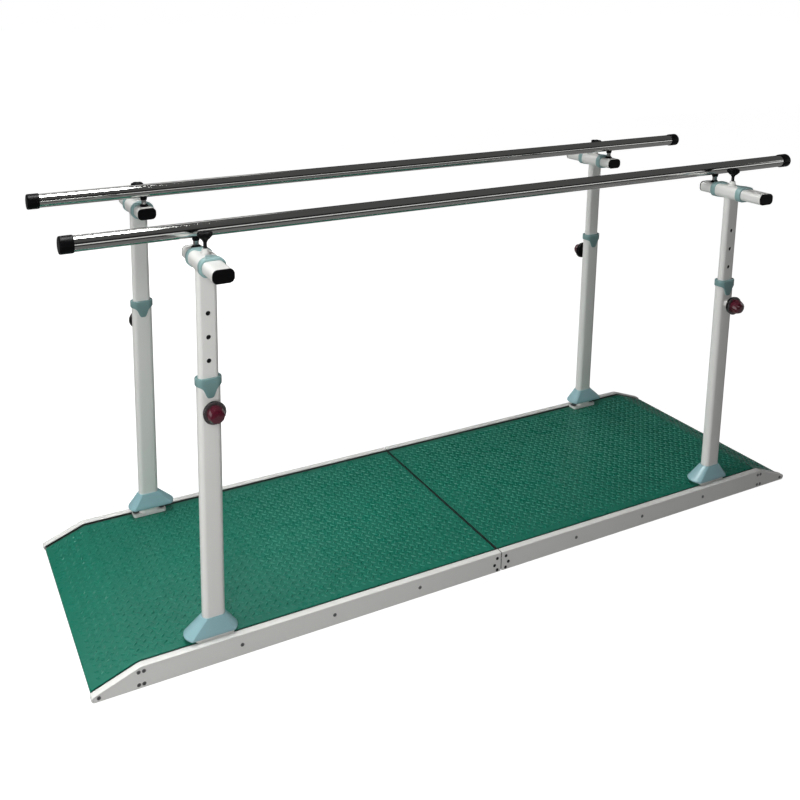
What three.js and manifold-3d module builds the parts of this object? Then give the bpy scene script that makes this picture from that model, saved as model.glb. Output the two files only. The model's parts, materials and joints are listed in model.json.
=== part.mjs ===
// Rehab walking parallel bars: a two-part ramped platform, four telescoping posts
// and two handrails that can be set in height and in width.
// Units are millimetres, +Z is up, +X runs along the walking direction.
// The origin is on the floor under the middle of the platform.
import * as THREE from 'three';
import { mergeVertices } from 'three/addons/utils/BufferGeometryUtils.js';
import Module from 'manifold-3d';

const wasm = await Module();
wasm.setup();
const { Manifold, Mesh: SolidMesh } = wasm;

// Sizes

// Fits shared by every piece.
const fit = {
  seat: 0.3,
  running: 0.3,
  overrun: 2,
  weld: 0.001,
};

// Facets of round work.
const facets = { corner: 3, pin: 10, rail: 20, knob: 16, bend: 3, nose: 5, bevel: 1 };

// The platform: two equal halves that meet at the middle of the length.
const platform = {
  length: 2000,
  width: 575,
  height: 50,
  seamGap: 3,
  rampRun: 107,
  crestRadius: 30,
  tipRadius: 7.5,
};

// The edge rail along each long side of a half.
const edge = {
  lipWidth: 16,
  lipThickness: 3.5,
  lipOverhang: 0.8,
  lipRounding: 1.4,
  webThickness: 3,
  flangeWidth: 20,
  flangeThickness: 2.5,
  flangeStop: 14,
  tipSkin: 0.8,
};

// The tread mat and the board under it.
const deck = {
  matDrop: 3,
  matThickness: 3,
  matSideGap: 1,
  noseWrapAngle: THREE.MathUtils.degToRad(-40),
  boardThickness: 11.6,
  boardSideGap: 0.5,
  floorGap: 2,
  battenCount: 5,
  battenWidth: 44,
  battenInset: 6,
  battenSideGap: 3,
  noseFlat: 5,
  noseBlock: 62,
};

// The plate behind the web that ties the two halves together.
const tie = { length: 64, height: 24, thickness: 3, corner: 3 };

// The posts: outer tubes with their base plates.
const post = {
  spacingX: 1460,
  spacingY: 510,
  width: 50,
  depth: 25,
  corner: 11.5,
  wall: 1.5,
  top: 630,
  plateLength: 86,
  plateDepth: 31,
  plateCorner: 6,
  plateThickness: 8,
  bossRadius: 8,
  bossLength: 9,
};

// The moulded cover that grips each post above its base plate: flat broad faces between
// two round lobes. Its foot leans to one side, and the far covers stand higher.
const cover = {
  height: 38.5,
  nearLift: 3,
  farLift: 14,
  wall: 2.2,
  topMargin: 2,
  topFlat: 34,
  footLength: 119,
  footDepth: 46,
  footFlat: 95,
  footLean: 6.5,
  rimHeight: 4,
  rings: 2,
  lobeSteps: 6,
};

// The sliding inner tube with its row of height holes.
const inner = {
  width: 43.4,
  depth: 18.4,
  corner: 9.1,
  wall: 1.5,
  bottom: 378,
  holeRadius: 5,
  holePitch: 50,
  holesBelow: 3,
  holesAbove: 4,
};

// The pull pin that locks the height.
const pin = {
  height: 568,
  radius: 4,
  drawn: 5.5,
  discRadius: 23,
  discThickness: 9,
  discRounding: 2.5,
  rimRadius: 24.5,
  rimThickness: 3,
  crownRadius: 18.5,
  crownLength: 17,
  crownTopRadius: 15,
  crownDome: 3,
  crownWaistShare: 0.45,
  domeRadiusShare: 0.6,
  domeHeightShare: 0.7,
};

// The cross sleeve on top of each inner tube.
const sleeve = {
  axisHeight: 872,
  length: 88,
  wall: 1.5,
  bushSpace: 1.6,
  bossBaseRadius: 9,
  bossTopRadius: 6.5,
  bossHeight: 11,
};

// The slide tube that carries a handrail through the sleeve.
const slide = {
  width: 45,
  depth: 28,
  corner: 11,
  wall: 1.5,
  outboardReach: 106,
  inboardReach: 85,
};

// The black end plugs of the slide tubes.
const plug = { flange: 3, depth: 16, wall: 2.5, rounding: 1 };

// The plastic collars at the open ends of posts and sleeves.
const collar = {
  margin: 3,
  flange: 2,
  rounding: 0.6,
  band: 14,
  bushDepth: 38,
  tongueLength: 26,
  tongueTopWidth: 40,
  tongueShoulderWidth: 25,
  tongueShoulderRise: 12,
  tongueTipShare: 0.8,
  sleeveMargin: 2,
  sleeveBand: 14,
  sleeveBushDepth: 22,
  sleeveTongueLength: 15,
  sleeveTongueRise: 7,
};

// The star knob that clamps the slide tube.
const clamp = {
  studRadius: 4,
  hubRadius: 7,
  hubHeight: 4,
  knobBottom: 917,
  knobHeight: 16,
  knobRadius: 16,
  lobeDepth: 3.6,
  lobes: 5,
  pointsPerLobe: 4,
  rounding: 2.4,
};

// The handrails, their stems and end caps.
const rail = {
  length: 2000,
  radius: 16,
  wall: 1.5,
  axisHeight: 924,
  offsetY: 198,
  stemFootRadius: 10,
  stemFootHeight: 3,
  stemWaistRadius: 6,
  stemWaistRise: 7,
  stemHeadRise: 19,
  stemHeadRadius: 9,
};
const railCap = { length: 28, wall: 2, end: 3, rounding: 1.4 };

// Finishes

const finishes = {
  whitePaint: { color: 0xe4e4de, roughness: 0.42, metalness: 0.05 },
  greenVinyl: { color: 0x1f7a5a, roughness: 0.62, metalness: 0 },
  board: { color: 0x8a6f4d, roughness: 0.85, metalness: 0 },
  zincPlate: { color: 0xa8abab, roughness: 0.45, metalness: 0.9 },
  tealPlastic: { color: 0x9fc4c6, roughness: 0.5, metalness: 0 },
  blackPlastic: { color: 0x111213, roughness: 0.45, metalness: 0 },
  redPlastic: { color: 0x5a1220, roughness: 0.25, metalness: 0 },
  polishedSteel: { color: 0xc3c4c5, roughness: 0.18, metalness: 1 },
};

// Solid helpers

// Welds a geometry to an indexed one with no collapsed triangles.
function weld(geometry) {
  const bare = new THREE.BufferGeometry();
  bare.setAttribute('position', geometry.getAttribute('position').clone());
  if (geometry.index) bare.setIndex(geometry.index.clone());
  const merged = mergeVertices(bare, fit.weld);
  const kept = [];
  for (let i = 0; i < merged.index.count; i += 3) {
    const [a, b, c] = [0, 1, 2].map((k) => merged.index.getX(i + k));
    if (a !== b && b !== c && c !== a) kept.push(a, b, c);
  }
  merged.setIndex(kept);
  return merged;
}

function toSolid(geometry) {
  const welded = weld(geometry);
  const mesh = new SolidMesh({
    numProp: 3,
    vertProperties: new Float32Array(welded.getAttribute('position').array),
    triVerts: new Uint32Array(welded.index.array),
  });
  return new Manifold(mesh);
}

function toGeometry(solid) {
  const mesh = solid.getMesh();
  const geometry = new THREE.BufferGeometry();
  geometry.setAttribute('position', new THREE.BufferAttribute(new Float32Array(mesh.vertProperties), 3));
  geometry.setIndex(new THREE.BufferAttribute(new Uint32Array(mesh.triVerts), 1));
  return geometry;
}

// Joins the first list of geometries and cuts the second list away.
function combine(joined, cuts = []) {
  let solid = toSolid(joined[0]);
  for (const piece of joined.slice(1)) solid = solid.add(toSolid(piece));
  for (const cut of cuts) solid = solid.subtract(toSolid(cut));
  return toGeometry(solid);
}

// Mirrors a geometry in the plane Y = 0 and turns its faces outwards again.
function mirrorY(geometry) {
  const mirrored = weld(geometry);
  mirrored.scale(1, -1, 1);
  const turned = Array.from(mirrored.index.array);
  for (let i = 0; i < turned.length; i += 3) [turned[i], turned[i + 1]] = [turned[i + 1], turned[i]];
  mirrored.setIndex(turned);
  return mirrored;
}

function arc(centre, radius, from, to, steps) {
  return Array.from({ length: steps + 1 }, (_, i) => {
    const angle = from + ((to - from) * i) / steps;
    return new THREE.Vector2(centre.x + radius * Math.cos(angle), centre.y + radius * Math.sin(angle));
  });
}

// The points of a rounded rectangle centred on the origin, always the same number of them.
function roundedRing(width, depth, corner) {
  const x = width / 2 - corner;
  const y = depth / 2 - corner;
  const centres = [{ x, y }, { x: -x, y }, { x: -x, y: -y }, { x, y: -y }];
  return centres.flatMap((centre, quarter) => {
    const start = (quarter * Math.PI) / 2;
    return arc(centre, corner, start, start + Math.PI / 2, facets.corner);
  });
}

// The same outline as a shape, with an optional growth on every side.
function roundedRect(width, depth, corner, grow = 0) {
  return new THREE.Shape(roundedRing(width + 2 * grow, depth + 2 * grow, corner + grow));
}

function prism(shape, from, to) {
  const curveSegments = facets.corner;
  const depth = to - from;
  const geometry = new THREE.ExtrudeGeometry(shape, { depth, bevelEnabled: false, curveSegments });
  return geometry.translate(0, 0, from);
}

// A prism with rounded rims that stays inside its shape and its two ends.
function softPrism(shape, from, to, rounding) {
  const geometry = new THREE.ExtrudeGeometry(shape, {
    depth: to - from - 2 * rounding,
    curveSegments: facets.corner,
    bevelEnabled: true,
    bevelThickness: rounding,
    bevelSize: rounding,
    bevelOffset: -rounding,
    bevelSegments: facets.bevel,
  });
  return geometry.translate(0, 0, from + rounding);
}

// Lays a prism made of (x, z) outlines along Y, from one Y to another.
function alongY(make, fromY, toY, shape, rounding) {
  return make(shape, -toY, -fromY, rounding).rotateX(Math.PI / 2);
}

function rod(radius, from, to, segments) {
  const geometry = new THREE.CylinderGeometry(radius, radius, to - from, segments);
  return geometry.rotateX(Math.PI / 2).translate(0, 0, (from + to) / 2);
}

// A solid of revolution about Z from (radius, height) pairs that start and end on the axis.
function turned(profile, segments) {
  const points = profile.map(([radius, height]) => new THREE.Vector2(radius, height));
  return new THREE.LatheGeometry(points, segments).rotateX(Math.PI / 2);
}

// Skins a stack of rings with equal point counts and closes both ends.
function loft(rings) {
  const count = rings[0].length;
  const positions = rings.flat().flatMap((p) => [p.x, p.y, p.z]);
  const index = [];
  for (let row = 0; row + 1 < rings.length; row += 1) {
    for (let i = 0; i < count; i += 1) {
      const a = row * count + i;
      const b = row * count + ((i + 1) % count);
      index.push(a, b, b + count, a, b + count, a + count);
    }
  }
  const close = (row, flip) => {
    const flat = rings[row].map((p) => new THREE.Vector2(p.x, p.y));
    for (const [a, b, c] of THREE.ShapeUtils.triangulateShape(flat, [])) {
      const face = flip ? [c, b, a] : [a, b, c];
      index.push(...face.map((i) => row * count + i));
    }
  };
  close(0, true);
  close(rings.length - 1, false);
  const geometry = new THREE.BufferGeometry();
  geometry.setAttribute('position', new THREE.Float32BufferAttribute(positions, 3));
  geometry.setIndex(index);
  return geometry;
}

function mesh(name, geometry, finish) {
  const material = new THREE.MeshStandardMaterial(finishes[finish]);
  material.name = finish;
  const shown = new THREE.Mesh(geometry, material);
  shown.name = name;
  return shown;
}

// Platform

// The ramp's tilt comes from the line that touches the crest bend and the tip bend.
const tipCentre = new THREE.Vector2(platform.length / 2 - platform.tipRadius, platform.tipRadius);
const crestCentre = new THREE.Vector2(
  platform.length / 2 - platform.rampRun, platform.height - platform.crestRadius,
);
const rampSpan = tipCentre.distanceTo(crestCentre);
const rampFall = Math.atan2(tipCentre.y - crestCentre.y, tipCentre.x - crestCentre.x);
const rampTilt = Math.asin((platform.crestRadius - platform.tipRadius) / rampSpan) - rampFall;
const rampNormal = Math.PI / 2 - rampTilt;
const seamX = platform.seamGap / 2;

// The side line of a half at a depth under the lip: flat, crest bend, ramp and nose.
function topLine(inset, noseEnd) {
  return [
    new THREE.Vector2(seamX, platform.height - inset),
    ...arc(crestCentre, platform.crestRadius - inset, Math.PI / 2, rampNormal, facets.bend),
    ...arc(tipCentre, platform.tipRadius - inset, rampNormal, noseEnd, facets.nose),
  ];
}

// A strip of even thickness that follows the side line.
function strip(upper, lower, noseEnd) {
  return new THREE.Shape([...topLine(upper, noseEnd), ...topLine(lower, noseEnd).reverse()]);
}

const matTop = platform.height - deck.matDrop;
const boardInset = deck.matDrop + deck.matThickness + fit.seat;
const boardTop = platform.height - boardInset;
const boardBottom = boardTop - deck.boardThickness;
const webOuterY = platform.width / 2 - edge.lipOverhang;
const webInnerY = webOuterY - edge.webThickness;
const flangeInnerY = webInnerY - edge.flangeWidth;
const flangeEndX = crestCentre.x - edge.flangeStop;
const lipInnerY = platform.width / 2 - edge.lipWidth;
const ledgeLow = boardBottom - fit.seat - edge.flangeThickness;

function treadMat() {
  const shape = strip(deck.matDrop, deck.matDrop + deck.matThickness, deck.noseWrapAngle);
  const halfWidth = lipInnerY - deck.matSideGap;
  return alongY(prism, -halfWidth, halfWidth, shape);
}

// The board with its wedge under the ramp and its battens.
function deckBoard() {
  const nose = topLine(boardInset, 0);
  const noseX = nose.at(-1).x;
  const profile = new THREE.Shape([
    ...nose,
    new THREE.Vector2(noseX - deck.noseFlat, deck.floorGap),
    new THREE.Vector2(noseX - deck.noseBlock, deck.floorGap),
    new THREE.Vector2(crestCentre.x + deck.noseFlat, boardBottom),
    new THREE.Vector2(seamX, boardBottom),
  ]);
  const slabHalf = webInnerY - deck.boardSideGap;
  const slab = alongY(prism, -slabHalf, slabHalf, profile);
  const battenHalf = flangeInnerY - deck.battenSideGap;
  const first = seamX + deck.battenInset;
  const last = flangeEndX - deck.battenInset - deck.battenWidth;
  const battens = Array.from({ length: deck.battenCount }, (_, i) => {
    const x = first + ((last - first) * i) / (deck.battenCount - 1);
    const outline = new THREE.Shape([
      new THREE.Vector2(x, deck.floorGap),
      new THREE.Vector2(x + deck.battenWidth, deck.floorGap),
      new THREE.Vector2(x + deck.battenWidth, boardBottom + deck.boardThickness / 2),
      new THREE.Vector2(x, boardBottom + deck.boardThickness / 2),
    ]);
    return alongY(prism, -battenHalf, battenHalf, outline);
  });
  return combine([slab, ...battens]);
}

// The edge rail on the -Y side: rounded lip, web, board ledge and floor flange.
function edgeRail() {
  const outer = -platform.width / 2;
  const lip = alongY(
    softPrism, outer, -lipInnerY, strip(0, edge.lipThickness, -Math.PI / 2), edge.lipRounding,
  );
  const webOutline = new THREE.Shape([
    new THREE.Vector2(seamX, 0),
    new THREE.Vector2(tipCentre.x, 0),
    ...topLine(edge.tipSkin, -Math.PI / 2).reverse(),
  ]);
  const web = alongY(prism, -webOuterY, -webInnerY, webOutline);
  const shelf = (low) => alongY(prism, -webOuterY, -flangeInnerY, new THREE.Shape([
    new THREE.Vector2(seamX, low),
    new THREE.Vector2(flangeEndX, low),
    new THREE.Vector2(flangeEndX, low + edge.flangeThickness),
    new THREE.Vector2(seamX, low + edge.flangeThickness),
  ]));
  return combine([lip, web, shelf(ledgeLow), shelf(0)]);
}

function tiePlate() {
  const middle = (edge.flangeThickness + ledgeLow) / 2;
  const shape = roundedRect(tie.length, tie.height, tie.corner);
  const behindWeb = -webInnerY + fit.seat;
  return alongY(prism, behindWeb, behindWeb + tie.thickness, shape).translate(0, 0, middle);
}

// One half of the platform, built on +X. The other half is the same one turned round.
function platformHalf(end) {
  const half = new THREE.Group();
  half.name = `${end}_half`;
  half.rotation.z = end === 'right' ? 0 : Math.PI;
  const [nearName, farName] = end === 'right' ? ['near', 'far'] : ['far', 'near'];
  half.add(
    mesh(`${end}_tread_mat`, treadMat(), 'greenVinyl'),
    mesh(`${end}_deck_board`, deckBoard(), 'board'),
    mesh(`${nearName}_${end}_edge_rail`, edgeRail(), 'whitePaint'),
    mesh(`${farName}_${end}_edge_rail`, mirrorY(edgeRail()), 'whitePaint'),
  );
  return half;
}

// Posts

const plateBottom = matTop + fit.seat;
const plateTop = plateBottom + post.plateThickness;

// The outer tube, its base plate and the boss of the pull pin on the -Y face.
function outerTube() {
  const plate = prism(
    roundedRect(post.plateLength, post.plateDepth, post.plateCorner), plateBottom, plateTop,
  );
  const tube = prism(roundedRect(post.width, post.depth, post.corner), plateTop - fit.seat, post.top);
  const bossEnd = post.depth / 2 + post.bossLength;
  const boss = rod(post.bossRadius, 0, bossEnd, facets.pin).rotateX(Math.PI / 2);
  const bore = prism(
    roundedRect(post.width, post.depth, post.corner, -post.wall), plateTop, post.top + fit.overrun,
  );
  const pinBore = rod(pin.radius + fit.running, 0, bossEnd + fit.overrun, facets.pin).rotateX(Math.PI / 2);
  return combine(
    [tube, plate, boss.translate(0, 0, pin.height)],
    [bore, pinBore.translate(0, 0, pin.height)],
  );
}

// The outline of the moulded cover at a share of its height, 0 at the foot: each end is an
// arc through the two corners of the flat faces.
function coverRing(share, grow) {
  const { lerp } = THREE.MathUtils;
  const reach = lerp(cover.footLength / 2, post.width / 2 + cover.topMargin, share) + grow;
  const face = lerp(cover.footDepth / 2, post.depth / 2 + cover.topMargin, share) + grow;
  const flat = lerp(cover.footFlat / 2, cover.topFlat / 2, share) + grow / 2;
  const lean = -cover.footLean * (1 - share);
  const rise = reach - flat;
  const radius = (rise ** 2 + face ** 2) / (2 * rise);
  const sweep = Math.atan2(face, flat - reach + radius);
  const centre = { x: reach - radius, y: 0 };
  const lobe = arc(centre, radius, -sweep, sweep, cover.lobeSteps);
  const ring = [...lobe, ...lobe.map((p) => new THREE.Vector2(-p.x, -p.y))];
  return ring.map((p) => new THREE.Vector2(p.x + lean, p.y));
}

// A closed body that follows the cover's flare between two heights.
function coverShell(from, to, grow) {
  const base = cover.rimHeight;
  const span = cover.height - cover.rimHeight;
  const climb = Array.from({ length: cover.rings + 1 }, (_, i) => base + ((to - base) * i) / cover.rings);
  return loft([from, ...climb].map((z) => {
    const share = THREE.MathUtils.clamp((z - base) / span, 0, 1);
    return coverRing(share, grow).map((p) => new THREE.Vector3(p.x, p.y, z));
  }));
}

// The hollow cover with its foot at Z = 0: a flared skin with an opening for the tube.
function footCover() {
  const skin = coverShell(0, cover.height, 0);
  const hollow = coverShell(-fit.overrun, cover.height - cover.wall, -cover.wall);
  const opening = prism(
    roundedRect(post.width, post.depth, post.corner, fit.running), 0, cover.height + fit.overrun,
  );
  return combine([skin], [hollow, opening]);
}

// The tongue of a collar as a rounded V that hangs from Z = 0.
function tongueShape(length, rise) {
  const top = collar.tongueTopWidth / 2;
  const shoulder = collar.tongueShoulderWidth / 2;
  const shape = new THREE.Shape();
  shape.moveTo(-top, fit.overrun);
  shape.lineTo(-top, 0);
  shape.lineTo(-shoulder, -length + rise);
  shape.quadraticCurveTo(-shoulder * collar.tongueTipShare, -length, 0, -length);
  shape.quadraticCurveTo(shoulder * collar.tongueTipShare, -length, shoulder, -length + rise);
  shape.lineTo(top, 0);
  shape.lineTo(top, fit.overrun);
  shape.closePath();
  return shape;
}

// A collar for the open end of a tube that points along +Z and ends at Z = 0.
// It caps the rim, hangs a tongue on each broad face and lines the bore.
function tubeCollar({ width, depth, corner, wall, through, margin, band, bushDepth, tongue, rise }) {
  const outline = (grow) => roundedRect(width, depth, corner, grow);
  const passage = roundedRect(through.width, through.depth, through.corner, fit.running);
  const ring = softPrism(outline(margin), collar.flange - band, collar.flange, collar.rounding);
  const socket = prism(outline(fit.seat), collar.flange - band - fit.overrun, fit.seat);
  const bush = prism(outline(-wall - fit.seat), -bushDepth, collar.flange / 2);
  const hang = band - collar.flange;
  const face = depth / 2 + fit.seat;
  const tongueFront = alongY(
    prism, -face - margin + collar.rounding, -face, tongueShape(tongue, rise),
  ).translate(0, 0, -hang);
  const hole = prism(passage, -bushDepth - fit.overrun, collar.flange + fit.overrun);
  return combine(
    [combine([ring, tongueFront, mirrorY(tongueFront)], [socket]), bush],
    [hole],
  );
}

function postCollar() {
  return tubeCollar({
    ...post,
    through: inner,
    margin: collar.margin,
    band: collar.band,
    bushDepth: collar.bushDepth,
    tongue: collar.tongueLength,
    rise: collar.tongueShoulderRise,
  });
}

const sleeveSection = {
  width: slide.width + 2 * (sleeve.bushSpace + sleeve.wall),
  depth: slide.depth + 2 * (sleeve.bushSpace + sleeve.wall),
  corner: slide.corner + sleeve.bushSpace + sleeve.wall,
  wall: sleeve.wall,
};
const sleeveTop = sleeve.axisHeight + sleeveSection.depth / 2;
const sleeveBottom = sleeve.axisHeight - sleeveSection.depth / 2;

function sleeveCollar() {
  return tubeCollar({
    ...sleeveSection,
    through: slide,
    margin: collar.sleeveMargin,
    band: collar.sleeveBand,
    bushDepth: collar.sleeveBushDepth,
    tongue: collar.sleeveTongueLength,
    rise: collar.sleeveTongueRise,
  });
}

// The inner tube with its height holes, the welded cross sleeve and the clamp boss.
function slidingHead() {
  const stem = prism(
    roundedRect(inner.width, inner.depth, inner.corner), inner.bottom, sleeve.axisHeight,
  );
  const half = sleeve.length / 2;
  const section = (grow) => roundedRect(
    sleeveSection.width, sleeveSection.depth, sleeveSection.corner, grow,
  );
  const shell = alongY(prism, -half, half, section(0)).translate(0, 0, sleeve.axisHeight);
  const passage = alongY(prism, -half - fit.overrun, half + fit.overrun, section(-sleeve.wall));
  const boss = turned([
    [0, -sleeve.wall],
    [sleeve.bossBaseRadius, -sleeve.wall],
    [sleeve.bossBaseRadius, 0],
    [sleeve.bossTopRadius, sleeve.bossHeight],
    [0, sleeve.bossHeight],
  ], facets.pin).translate(0, 0, sleeveTop);
  const studBore = rod(
    clamp.studRadius + fit.running, sleeve.axisHeight, sleeveTop + sleeve.bossHeight + fit.overrun, facets.pin,
  );
  const stemBore = prism(
    roundedRect(inner.width, inner.depth, inner.corner, -inner.wall),
    inner.bottom - fit.overrun,
    sleeveBottom,
  );
  const holes = [];
  for (let step = -inner.holesBelow; step <= inner.holesAbove; step += 1) {
    const hole = rod(inner.holeRadius, 0, inner.depth, facets.pin).rotateX(Math.PI / 2);
    holes.push(hole.translate(0, 0, pin.height + step * inner.holePitch));
  }
  return combine(
    [shell, stem, boss],
    [passage.translate(0, 0, sleeve.axisHeight), stemBore, studBore, ...holes],
  );
}

// The pull pin on the -Y side, drawn just clear of the inner tube.
function pullPin() {
  const tip = inner.depth / 2 + fit.running;
  const back = post.depth / 2 + post.bossLength + pin.drawn + fit.running;
  const rim = back + pin.discThickness;
  const crown = rim + pin.rimThickness;
  const top = crown + pin.crownLength;
  const turnedPin = turned([
    [0, -top - pin.crownDome],
    [pin.crownTopRadius * pin.domeRadiusShare, -top - pin.crownDome * pin.domeHeightShare],
    [pin.crownTopRadius, -top],
    [pin.crownRadius, -crown - pin.crownLength * pin.crownWaistShare],
    [pin.crownRadius, -crown],
    [pin.rimRadius, -crown],
    [pin.rimRadius, -rim],
    [pin.discRadius, -rim],
    [pin.discRadius, -back - pin.discRounding],
    [pin.discRadius - pin.discRounding, -back],
    [pin.radius, -back],
    [pin.radius, -tip],
    [0, -tip],
  ], facets.knob);
  return turnedPin.rotateX(-Math.PI / 2).translate(0, 0, pin.height);
}

// The star knob with its stud.
function clampKnob() {
  const count = clamp.lobes * clamp.pointsPerLobe;
  const star = new THREE.Shape(Array.from({ length: count }, (_, i) => {
    const angle = (2 * Math.PI * i) / count;
    const radius = clamp.knobRadius - (clamp.lobeDepth * (1 - Math.cos(clamp.lobes * angle))) / 2;
    return new THREE.Vector2(radius * Math.cos(angle), radius * Math.sin(angle));
  }));
  const knobTop = clamp.knobBottom + clamp.knobHeight;
  const head = softPrism(star, clamp.knobBottom, knobTop, clamp.rounding);
  const hub = rod(clamp.hubRadius, clamp.knobBottom - clamp.hubHeight, knobTop - clamp.rounding, facets.pin);
  const studTip = sleeve.axisHeight + slide.depth / 2 + fit.seat;
  const stud = rod(clamp.studRadius, studTip, clamp.knobBottom + clamp.rounding, facets.pin);
  return combine([head, hub, stud]);
}

// Slide tubes and handrails

function slideTube() {
  const section = (grow) => roundedRect(slide.width, slide.depth, slide.corner, grow);
  const from = -slide.outboardReach + plug.flange + fit.seat;
  const to = slide.inboardReach - plug.flange - fit.seat;
  const body = alongY(prism, from, to, section(0));
  const bore = alongY(prism, from - fit.overrun, to + fit.overrun, section(-slide.wall));
  return combine([body], [bore]).translate(0, 0, sleeve.axisHeight);
}

// A plug for a tube that points along +Z: flange above Z = 0, hollow insert below.
function endPlug() {
  const section = (grow) => roundedRect(slide.width, slide.depth, slide.corner, grow);
  const insert = -slide.wall - fit.running;
  const flange = softPrism(section(0), fit.seat, fit.seat + plug.flange, plug.rounding);
  const stem = prism(section(insert), -plug.depth, fit.seat + plug.flange / 2);
  const hollow = prism(section(insert - plug.wall), -plug.depth - fit.overrun, -plug.wall);
  return combine([flange, stem], [hollow]);
}

// The rail tube along X with its two stems, which stand on the slide tubes.
function handrail() {
  const half = rail.length / 2;
  const lay = (piece) => piece.rotateY(Math.PI / 2).translate(0, 0, rail.axisHeight);
  const tube = lay(rod(rail.radius, -half, half, facets.rail));
  const bore = lay(rod(rail.radius - rail.wall, -half - fit.overrun, half + fit.overrun, facets.rail));
  const foot = sleeve.axisHeight + slide.depth / 2 + fit.seat;
  const head = rail.axisHeight - rail.radius / 2;
  const stem = () => turned([
    [0, foot],
    [rail.stemFootRadius, foot],
    [rail.stemFootRadius, foot + rail.stemFootHeight],
    [rail.stemWaistRadius, foot + rail.stemWaistRise],
    [rail.stemWaistRadius, foot + rail.stemHeadRise],
    [rail.stemHeadRadius, head],
    [0, head],
  ], facets.pin);
  const reach = post.spacingX / 2;
  return combine([tube, stem().translate(-reach, 0, 0), stem().translate(reach, 0, 0)], [bore]);
}

// The cap over a rail end that points along +X and ends at X = 0.
function endCap() {
  const outer = rail.radius + railCap.wall;
  const end = railCap.end + fit.seat;
  const skirt = end - railCap.length;
  const cup = turned([
    [0, skirt],
    [outer - railCap.rounding / 2, skirt],
    [outer, skirt + railCap.rounding / 2],
    [outer, end - railCap.rounding],
    [outer - railCap.rounding, end],
    [0, end],
  ], facets.rail);
  const socket = rod(rail.radius + fit.running, skirt - fit.overrun, fit.seat, facets.rail);
  return combine([cup], [socket]).rotateY(Math.PI / 2);
}

// One side of the bars, built on -Y. The other side is the same one turned round.
function barSide(side) {
  const group = new THREE.Group();
  group.name = `${side}_bars`;
  const turnedRound = side === 'far';
  group.rotation.z = turnedRound ? Math.PI : 0;
  const endName = (direction) => ((direction < 0) !== turnedRound ? 'left' : 'right');
  for (const direction of [-1, 1]) {
    const label = `${side}_${endName(direction)}`;
    const stand = new THREE.Group();
    stand.name = `${label}_post`;
    stand.position.set((direction * post.spacingX) / 2, -post.spacingY / 2, 0);
    const boot = mesh(`${label}_foot_cover`, footCover(), 'tealPlastic');
    boot.position.z = plateTop + (turnedRound ? cover.farLift : cover.nearLift);
    const postRing = mesh(`${label}_post_collar`, postCollar(), 'tealPlastic');
    postRing.position.z = post.top;
    const outboardRing = mesh(`${label}_outboard_sleeve_collar`, sleeveCollar(), 'tealPlastic');
    outboardRing.position.set(0, -sleeve.length / 2, sleeve.axisHeight);
    outboardRing.rotation.x = Math.PI / 2;
    const inboardRing = mesh(`${label}_inboard_sleeve_collar`, sleeveCollar(), 'tealPlastic');
    inboardRing.position.set(0, sleeve.length / 2, sleeve.axisHeight);
    inboardRing.rotation.x = -Math.PI / 2;
    const outboardPlug = mesh(`${label}_outboard_end_plug`, endPlug(), 'blackPlastic');
    outboardPlug.position.set(0, -slide.outboardReach + plug.flange + fit.seat, sleeve.axisHeight);
    outboardPlug.rotation.x = Math.PI / 2;
    const inboardPlug = mesh(`${label}_inboard_end_plug`, endPlug(), 'blackPlastic');
    inboardPlug.position.set(0, slide.inboardReach - plug.flange - fit.seat, sleeve.axisHeight);
    inboardPlug.rotation.x = -Math.PI / 2;
    stand.add(
      mesh(`${label}_outer_tube`, outerTube(), 'whitePaint'),
      boot,
      postRing,
      mesh(`${label}_sliding_head`, slidingHead(), 'whitePaint'),
      outboardRing,
      inboardRing,
      mesh(`${label}_slide_tube`, slideTube(), 'whitePaint'),
      outboardPlug,
      inboardPlug,
      mesh(`${label}_clamp_knob`, clampKnob(), 'blackPlastic'),
      mesh(`${label}_pull_pin`, pullPin(), 'redPlastic'),
    );
    const cap = mesh(`${label}_rail_cap`, endCap(), 'blackPlastic');
    cap.position.set((direction * rail.length) / 2, -rail.offsetY, rail.axisHeight);
    cap.rotation.z = direction > 0 ? 0 : Math.PI;
    group.add(stand, cap);
  }
  const bar = mesh(`${side}_handrail`, handrail(), 'polishedSteel');
  bar.position.y = -rail.offsetY;
  group.add(bar);
  return group;
}

const bars = new THREE.Group();
bars.name = 'walking_parallel_bars';
bars.add(platformHalf('left'), platformHalf('right'));
const farTie = mesh('far_tie_plate', mirrorY(tiePlate()), 'zincPlate');
bars.add(mesh('near_tie_plate', tiePlate(), 'zincPlate'), farTie);
bars.add(barSide('near'), barSide('far'));

export default bars;
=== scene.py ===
"""Looks of the walking parallel bars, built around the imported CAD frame.

Units are metres in the frame's own axes: +X along the walk, +Z up, the floor at zero.
Places come from the frame's boxes. Each class below builds one sub-assembly. In profiles
and rows the small numbers are roundings and plays, added to a named size.
"""

import json
import logging
import math
from collections.abc import Callable, Sequence
from dataclasses import dataclass, replace
from enum import Enum

import bmesh
import bpy
from mathutils import Matrix, Vector

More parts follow.
